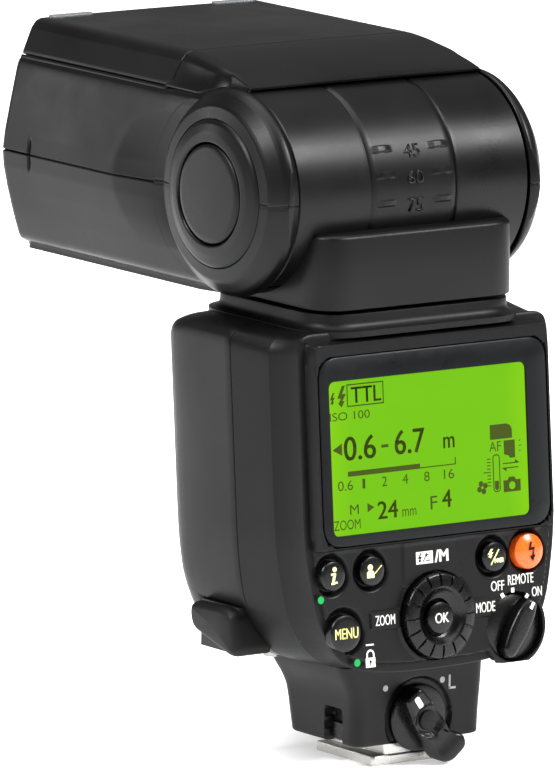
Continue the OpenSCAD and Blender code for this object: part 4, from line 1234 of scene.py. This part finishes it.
def power_switch():
    """A shallow turned plate carrying a raised finger bar, round at both ends and narrowing
    towards its tip, with a white index mark."""
    plate = np.array([[6.45, -2.5], [6.45, 0.1], [6.2, 0.3], [3.0, 0.55], [0, 0.6]])
    centre = on_face(SWITCH[0], 2.6, SWITCH[1])
    t = math.radians(57)
    along, across = np.array([math.cos(t), math.sin(t)]), np.array([-math.sin(t), math.cos(t)])
    corners = np.array([[-6.3, -1.5], [-6.3, 1.5], [-1.0, 2.2], [3.6, 2.0], [6.1, 1.0],
                        [6.1, -1.0], [3.6, -2.0], [-1.0, -2.2]])
    loop = ring(corners @ np.array([along, across]) + SWITCH, 1.6, 6)
    place = lambda a, b, h: on_face(a, 2.4 - h, b)
    bar = slab(loop, [(0, -0.6), (0, 2.5), (-0.15, 2.9), (-0.5, 3.15), (-0.9, 3.2)], place)
    piece("power_switch_knob", [(turned(plate, centre, OUT, 90), True, False),
                                (bar, True, False)], CONTROL, "power_switch", ["power_switch"],
          sharp=40)
    tip = np.array(SWITCH) + along * 5.0
    lettering("switch_index", [bar_shape(tip - along * 0.95, tip + along * 0.5, 0.75)],
              lambda a, b: on_face(a, -0.84, b), WHITE_INK_PAINTED_GLOW, "power_switch")


controls()

# ---- neck and tilt drum ------------------------------------------------------------------

PLAIN = lambda a, b, h: np.stack(np.broadcast_arrays(a, b, h), -1)


def neck_parts():
    """The fixed seat ring with its flared foot, the swivelling block above it with softened
    edges, and the shadow gap between them."""
    seat_corners = np.array([[-24.3, -10.0], [24.3, -10.0], [24.3, 28.6], [-24.3, 28.6]])
    seat = finer(ring(seat_corners, 9, 12), 1.0)
    steps = [(-2.2, 86.0), (-2.2, 87.12), (-1.3, 87.2), (-0.6, 87.5), (-0.15, 88.1), (0, 88.8),
             (0, 89.85), (0.1, 90.1), (0.35, 90.2)]
    def seamed(a, b, h):
        """The plain place, pulled in 0.18 mm along a narrow bell where the covers meet."""
        return PLAIN(a + 0.18 * (a < -20) * np.exp(-((b - 7.0) / 0.16) ** 2), b, h)

    piece("neck_seat_ring", [(slab(seat, steps, seamed), True, False)], CASE, "body",
          sharp=32)
    block = finer(ring(np.array([[-24.3, -10.0], [24.3, -10.0], [24.3, 28.2], [-24.3, 28.2]]),
                       7.5, 12), 1.2)
    steps = [(0.9, 90.75), (0.3, 90.8), (0.05, 91.0), (0, 91.4), (0.1, 98.0), (0.25, 104.6),
             (0.35, 105.0), (0.7, 105.35), (1.3, 105.5), (5.0, 105.6)]
    piece("neck_block_moulding", [(slab(block, steps, PLAIN), True, False)], CASE, "neck",
          ["neck_block"], sharp=32)


DASH_ANGLES = (27.2, 12.1, -3.4)
DRUM_JOINT = 10.4


def drum_shape(x, angle, lift=0.0):
    """Point of the drum at x and angle (degrees up from the rear), raised by lift."""
    a = np.radians(angle)
    r = DRUM_R + lift
    x, y, z = np.broadcast_arrays(x, PIVOT[1] - r * np.cos(a), PIVOT[2] + r * np.sin(a))
    return np.stack([x, y, z], -1)


def tilt_drum():
    """The drum between the hubs: radius over (x, angle), with a groove at each joint of its
    middle band and low raised bars beside the angle numbers, which are raised too."""
    half = rows_near(0.0, DRUM_HALF, [DRUM_JOINT, 5.2, 6.8, 8.4], 0.8, 0.12, 0.35)
    x = np.concatenate([-half[:0:-1], half])[None, :]
    angle = np.concatenate([np.arange(-60, -9, 5.0), np.arange(-9, 34, 0.5),
                            np.arange(34, 300, 3.0)])[:, None]
    lift = -0.35 * np.exp(-((np.abs(x) - DRUM_JOINT) / 0.13) ** 2) + 0 * angle
    arc = np.radians(angle) * DRUM_R
    for degrees in DASH_ANGLES:
        gap = box_distance(np.abs(x), arc, (6.8, math.radians(degrees) * DRUM_R), (1.75, 0.58), 0.15)
        lift = lift + 0.42 * smooth(0.1, -0.1, gap)
    lift[:, [0, -1]] -= 0.5
    body = drum_shape(x, angle, lift)
    caps = [drum_shape(x[:, [k]], angle, np.array([[-0.5, -7.0]])) for k in (0, -1)]
    piece("tilt_drum_turned", [(body, False, False), (caps[0], False, True),
                               (caps[1], False, False)], SHELL, "neck", ["tilt_drum"])
    for text, degrees in zip(("45", "60", "75"), DASH_ANGLES):
        flat, faces = printed(text, 0, 0, 3.7, 2.7, 0)
        centre = degrees - 2.2
        points = drum_shape(flat[:, 0] + 0.3, centre + np.degrees(flat[:, 1] / DRUM_R), 0.22)
        solid("angle_number_" + text, points, faces, CONTROL, "neck", wall=0.3, sharp=30)


neck_parts()
tilt_drum()

# ---- foot, its lever and the plate -------------------------------------------------------

LEVER_AT = np.array([0.0, 9.3])
LEVER_LEAN = math.radians(35.7)


def foot_housing():
    """Plan outline carried up: straight sides that flare out on the left under the body, a
    softened rear corner, and a small window sunk into the left side."""
    heights = np.concatenate([[4.6, 4.62, 4.8], np.arange(5.1, 20.3, 0.3), [20.6]])
    rows = []
    for z in heights:
        flare = 3.0 * smooth(11.5, 21.0, z) ** 1.5
        front = np.interp(z, [4.6, 20.2], [10.4, 14.4])
        corners = np.array([[-15.3 - flare, -11.5], [15.5 + 0.8 * smooth(5, 20, z), -11.5],
                            [15.5 + 0.8 * smooth(5, 20, z), front], [-15.3 - flare, front]])
        row = ring(corners, 2.6, 8)
        row = np.vstack([row, row[:1]])
        length = np.concatenate([[0], np.cumsum(np.linalg.norm(np.diff(row, axis=0), axis=1))])
        share = np.linspace(0, length[-1], 360, endpoint=False)
        rows.append(np.column_stack([np.interp(share, length, row[:, k]) for k in (0, 1)]))
    p = np.array(rows)
    x, y = p[..., 0], p[..., 1]
    z = np.broadcast_to(heights[:, None], x.shape)
    gap = box_distance(y, z, (-4.2, 7.4), (2.7, 4.1), 0.7)
    x = x + 2.2 * smooth(0.15, -0.2, gap) * (x < -12)
    tight = np.interp(heights, [4.6, 4.8, 5.1], [0.6, 0.15, 0.0])[:, None]
    x = x * (1 - tight / 15)
    y = y * (1 - tight / 12)
    scoop = np.hypot(x - LEVER_AT[0], z - LEVER_AT[1])
    y = y + 0.9 * smooth(8.3, 7.5, scoop) * (y < -11.0)
    body = np.stack([x, y, z], -1)
    under = body[:1] * [0.05, 0.05, 1]
    piece("foot_housing_moulding", [(np.concatenate([under, body]), True, False)], CASE,
          "body", ["foot_housing"], sharp=35)
    clip = finer(ring(np.array([[-6.3, 4.9], [-2.1, 4.9], [-2.1, 8.6], [-6.3, 8.6]]), 0.5), 2.0)
    piece("foot_side_catch", [(slab(clip, [(0, 12.4), (0, 13.6), (0.25, 13.9)],
                                    lambda a, b, h: PLAIN(-h, a, b)), True, True)],
          CONTROL, "body")
    marks = [disc_shape((-8.3, 15.9), 0.62), disc_shape((5.6, 16.2), 0.62)]
    lettering("foot_marks", marks + [bar_shape((7.4, 17.0), (7.4, 14.3), 0.45),
                                     bar_shape((7.2, 14.4), (8.9, 14.4), 0.45)],
              lambda a, b: PLAIN(a, 0 * a - 11.54, b), GREY_INK, "body")


def lever_place(u, v, out):
    """Along the lever (towards its hooked end), across it (to the upper right) and outward."""
    c, s = math.cos(LEVER_LEAN), math.sin(LEVER_LEAN)
    u, v, out = np.broadcast_arrays(u, v, out)
    return np.stack([LEVER_AT[0] + u * s + v * c, -11.4 - out, LEVER_AT[1] - u * c + v * s], -1)


def lock_lever():
    """The lock lever: a turned disc, a bar with softened edges, a dark ink line painted across it as
    the shade of a cross joint, and a hooked thumb end that curls outward; a rubber-capped push sits
    in its middle."""
    disc = np.array([[6.6, -1.5], [6.6, 0.2], [6.35, 0.5], [5.6, 0.65], [0, 0.7]])
    centre = [LEVER_AT[0], -11.2, LEVER_AT[1]]
    outline = np.array([[-6.8, -2.3], [-1.5, -3.1], [4.0, -3.0], [8.8, -2.6], [10.3, -0.6],
                        [10.0, 3.9], [7.4, 4.8], [5.8, 2.7], [2.0, 3.0], [-1.5, 2.9],
                        [-6.8, 2.2]])
    loop = finer(np.vstack([ring(outline, 1.3, 6), ring(outline, 1.3, 6)[:1]]), 0.5)[:-1]
    steps = [(0, 0.3), (0, 3.2), (0.12, 3.5), (0.4, 3.7), (0.7, 3.75)]

    def curled(a, b, h):
        """The bar's height: rising to the hooked end, sunk round the push."""
        away = np.hypot(a, b)
        top = h > 2.0
        h = h + top * (0.5 * smooth(5.5, 9.0, a) - 0.9 * smooth(3.6, 2.6, away))
        return lever_place(a, b, h)
    rings_in = np.linspace(0, 1, 10)[1:-1]
    edge = np.column_stack([inset(loop, 0.7), np.full(len(loop), 3.75)])
    middle = np.array([0.4, 0.0, 3.75])
    top = [edge + (middle - edge) * t for t in np.concatenate([rings_in, [1.0]])]
    sides = [np.column_stack([inset(loop, i), np.full(len(loop), h)]) for i, h in steps]
    p = np.array(sides + top)
    bar = curled(p[..., 0], p[..., 1], p[..., 2])
    piece("lock_lever_moulding", [(turned(disc, centre, [0, -1, 0], 96), True, False),
                                  (bar, True, False)], CONTROL, "lock_lever",
          ["lock_lever"], sharp=35)
    oval = ring(np.array([[-6.0, -0.62], [-6.0, 0.62], [-3.5, 0.62], [-3.5, -0.62]]), 0.6, 6)
    lettering("lever_mark", [outline_shape(oval)], lambda a, b: lever_place(a, b, 3.78),
              WHITE_INK_PAINTED_GLOW, "lock_lever")
    # painted shade: a flat matte black ink line stands in for the shadowed groove of the lever's
    # cross joint
    groove = [bar_shape((-2.9, -3.0), (-2.9, 2.9), 0.16)]
    lettering("lever_joint_painted_shade", groove, lambda a, b: lever_place(a, b, 3.78), BLACK_INK,
              "lock_lever")
    cap = np.array([[2.0, 0.4], [2.0, 3.0], [1.85, 3.35], [1.2, 3.55], [0, 3.6]])
    piece("lever_push_cap", [(turned(cap, [LEVER_AT[0], -11.4, LEVER_AT[1]], [0, -1, 0], 48),
                              True, False)], RUBBER, "lever_push", ["lever_push"], sharp=30)


def mounting_foot():
    """The nickel-plated plate with bevelled edges, and its narrower stem."""
    low, high = span("mounting_foot")
    plate = ring(np.array([[low[0], low[1]], [high[0], low[1]], [high[0], high[1]],
                           [low[0], high[1]]]), 0.7, 6)
    stem = ring(np.array([[-6.2, low[1] + 0.5], [6.2, low[1] + 0.5], [6.2, high[1] - 0.5],
                          [-6.2, high[1] - 0.5]]), 0.6, 5)
    flat = [(0.3, 0.0), (0.08, 0.08), (0, 0.25), (0, 1.75), (0.08, 1.92), (0.3, 2.0)]
    piece("mounting_foot_plated", [(slab(plate, flat, PLAIN), True, False),
                                   (slab(stem, [(0, 1.9), (0, 4.7)], PLAIN), True, False)],
          NICKEL, "body", ["mounting_foot"], sharp=25)


def terminal_cover():
    """The soft cover over the terminals: its outline carried outward, with a wide rounded edge."""
    corners = np.array([[-0.3, 23.4], [1.6, 22.4], [14.4, 26.2], [15.6, 29.0], [15.2, 31.6],
                        [4.2, 32.1], [1.2, 31.0]])
    loop = ring(corners, 1.6, 8)
    steps = [(0.5, -7.0), (0.0, -6.6), (0, -1.6), (0, 0.3), (0.12, 0.9), (0.4, 1.5),
             (0.8, 1.9), (1.3, 2.15)]
    piece("terminal_cover_moulding",
          [(slab(loop, steps, lambda a, b, h: PLAIN(-34.4 - h, a, b)), True, True)],
          RUBBER, "terminal_cover", ["terminal_cover"], sharp=40)


foot_housing()
lock_lever()
mounting_foot()
terminal_cover()

# ---- diffusers ---------------------------------------------------------------------------


def pulled_sheets():
    """The white card and the clear wide panel: thin sheets with softened edges, each with a clear
    finger tab standing at the head's front edge."""
    for name, side, z, edge, material in (("bounce_card", -1, 133.2, 2.1, CARD),
                                          ("wide_panel", 1, 131.5, 2.0, LENS)):
        low = span(name)[0]
        left, right = ((-24.5, 14.5) if side < 0 else (-25.5, 25.5))
        sheet = ring(np.array([[left, low[1]], [right, low[1]], [right, HEAD_FRONT - edge],
                               [left, HEAD_FRONT - edge]]), 1.0)
        piece(name + "_sheet", [(slab(sheet, [(0.1, z), (0, z + 0.1), (0, z + 0.7),
                                              (0.1, z + 0.8)], PLAIN), True, False)],
              material, name, [name])
        a, b = sorted((side * 15.0, side * 25.0))
        tab = ring(np.array([[a, HEAD_FRONT - 2.0], [b, HEAD_FRONT - 2.0], [b, HEAD_FRONT - 0.45],
                             [a, HEAD_FRONT - 0.45]]), 0.4)
        top = HEAD_TOP + 0.45
        piece(name + "_tab", [(slab(tab, [(0, z + 0.2), (0, top - 0.2), (0.2, top)], PLAIN),
                               True, False)], TAB, name)


TAB = clear("clear smoked polycarbonate tab", "B9BDC0", 0.12, 0.7)
pulled_sheets()
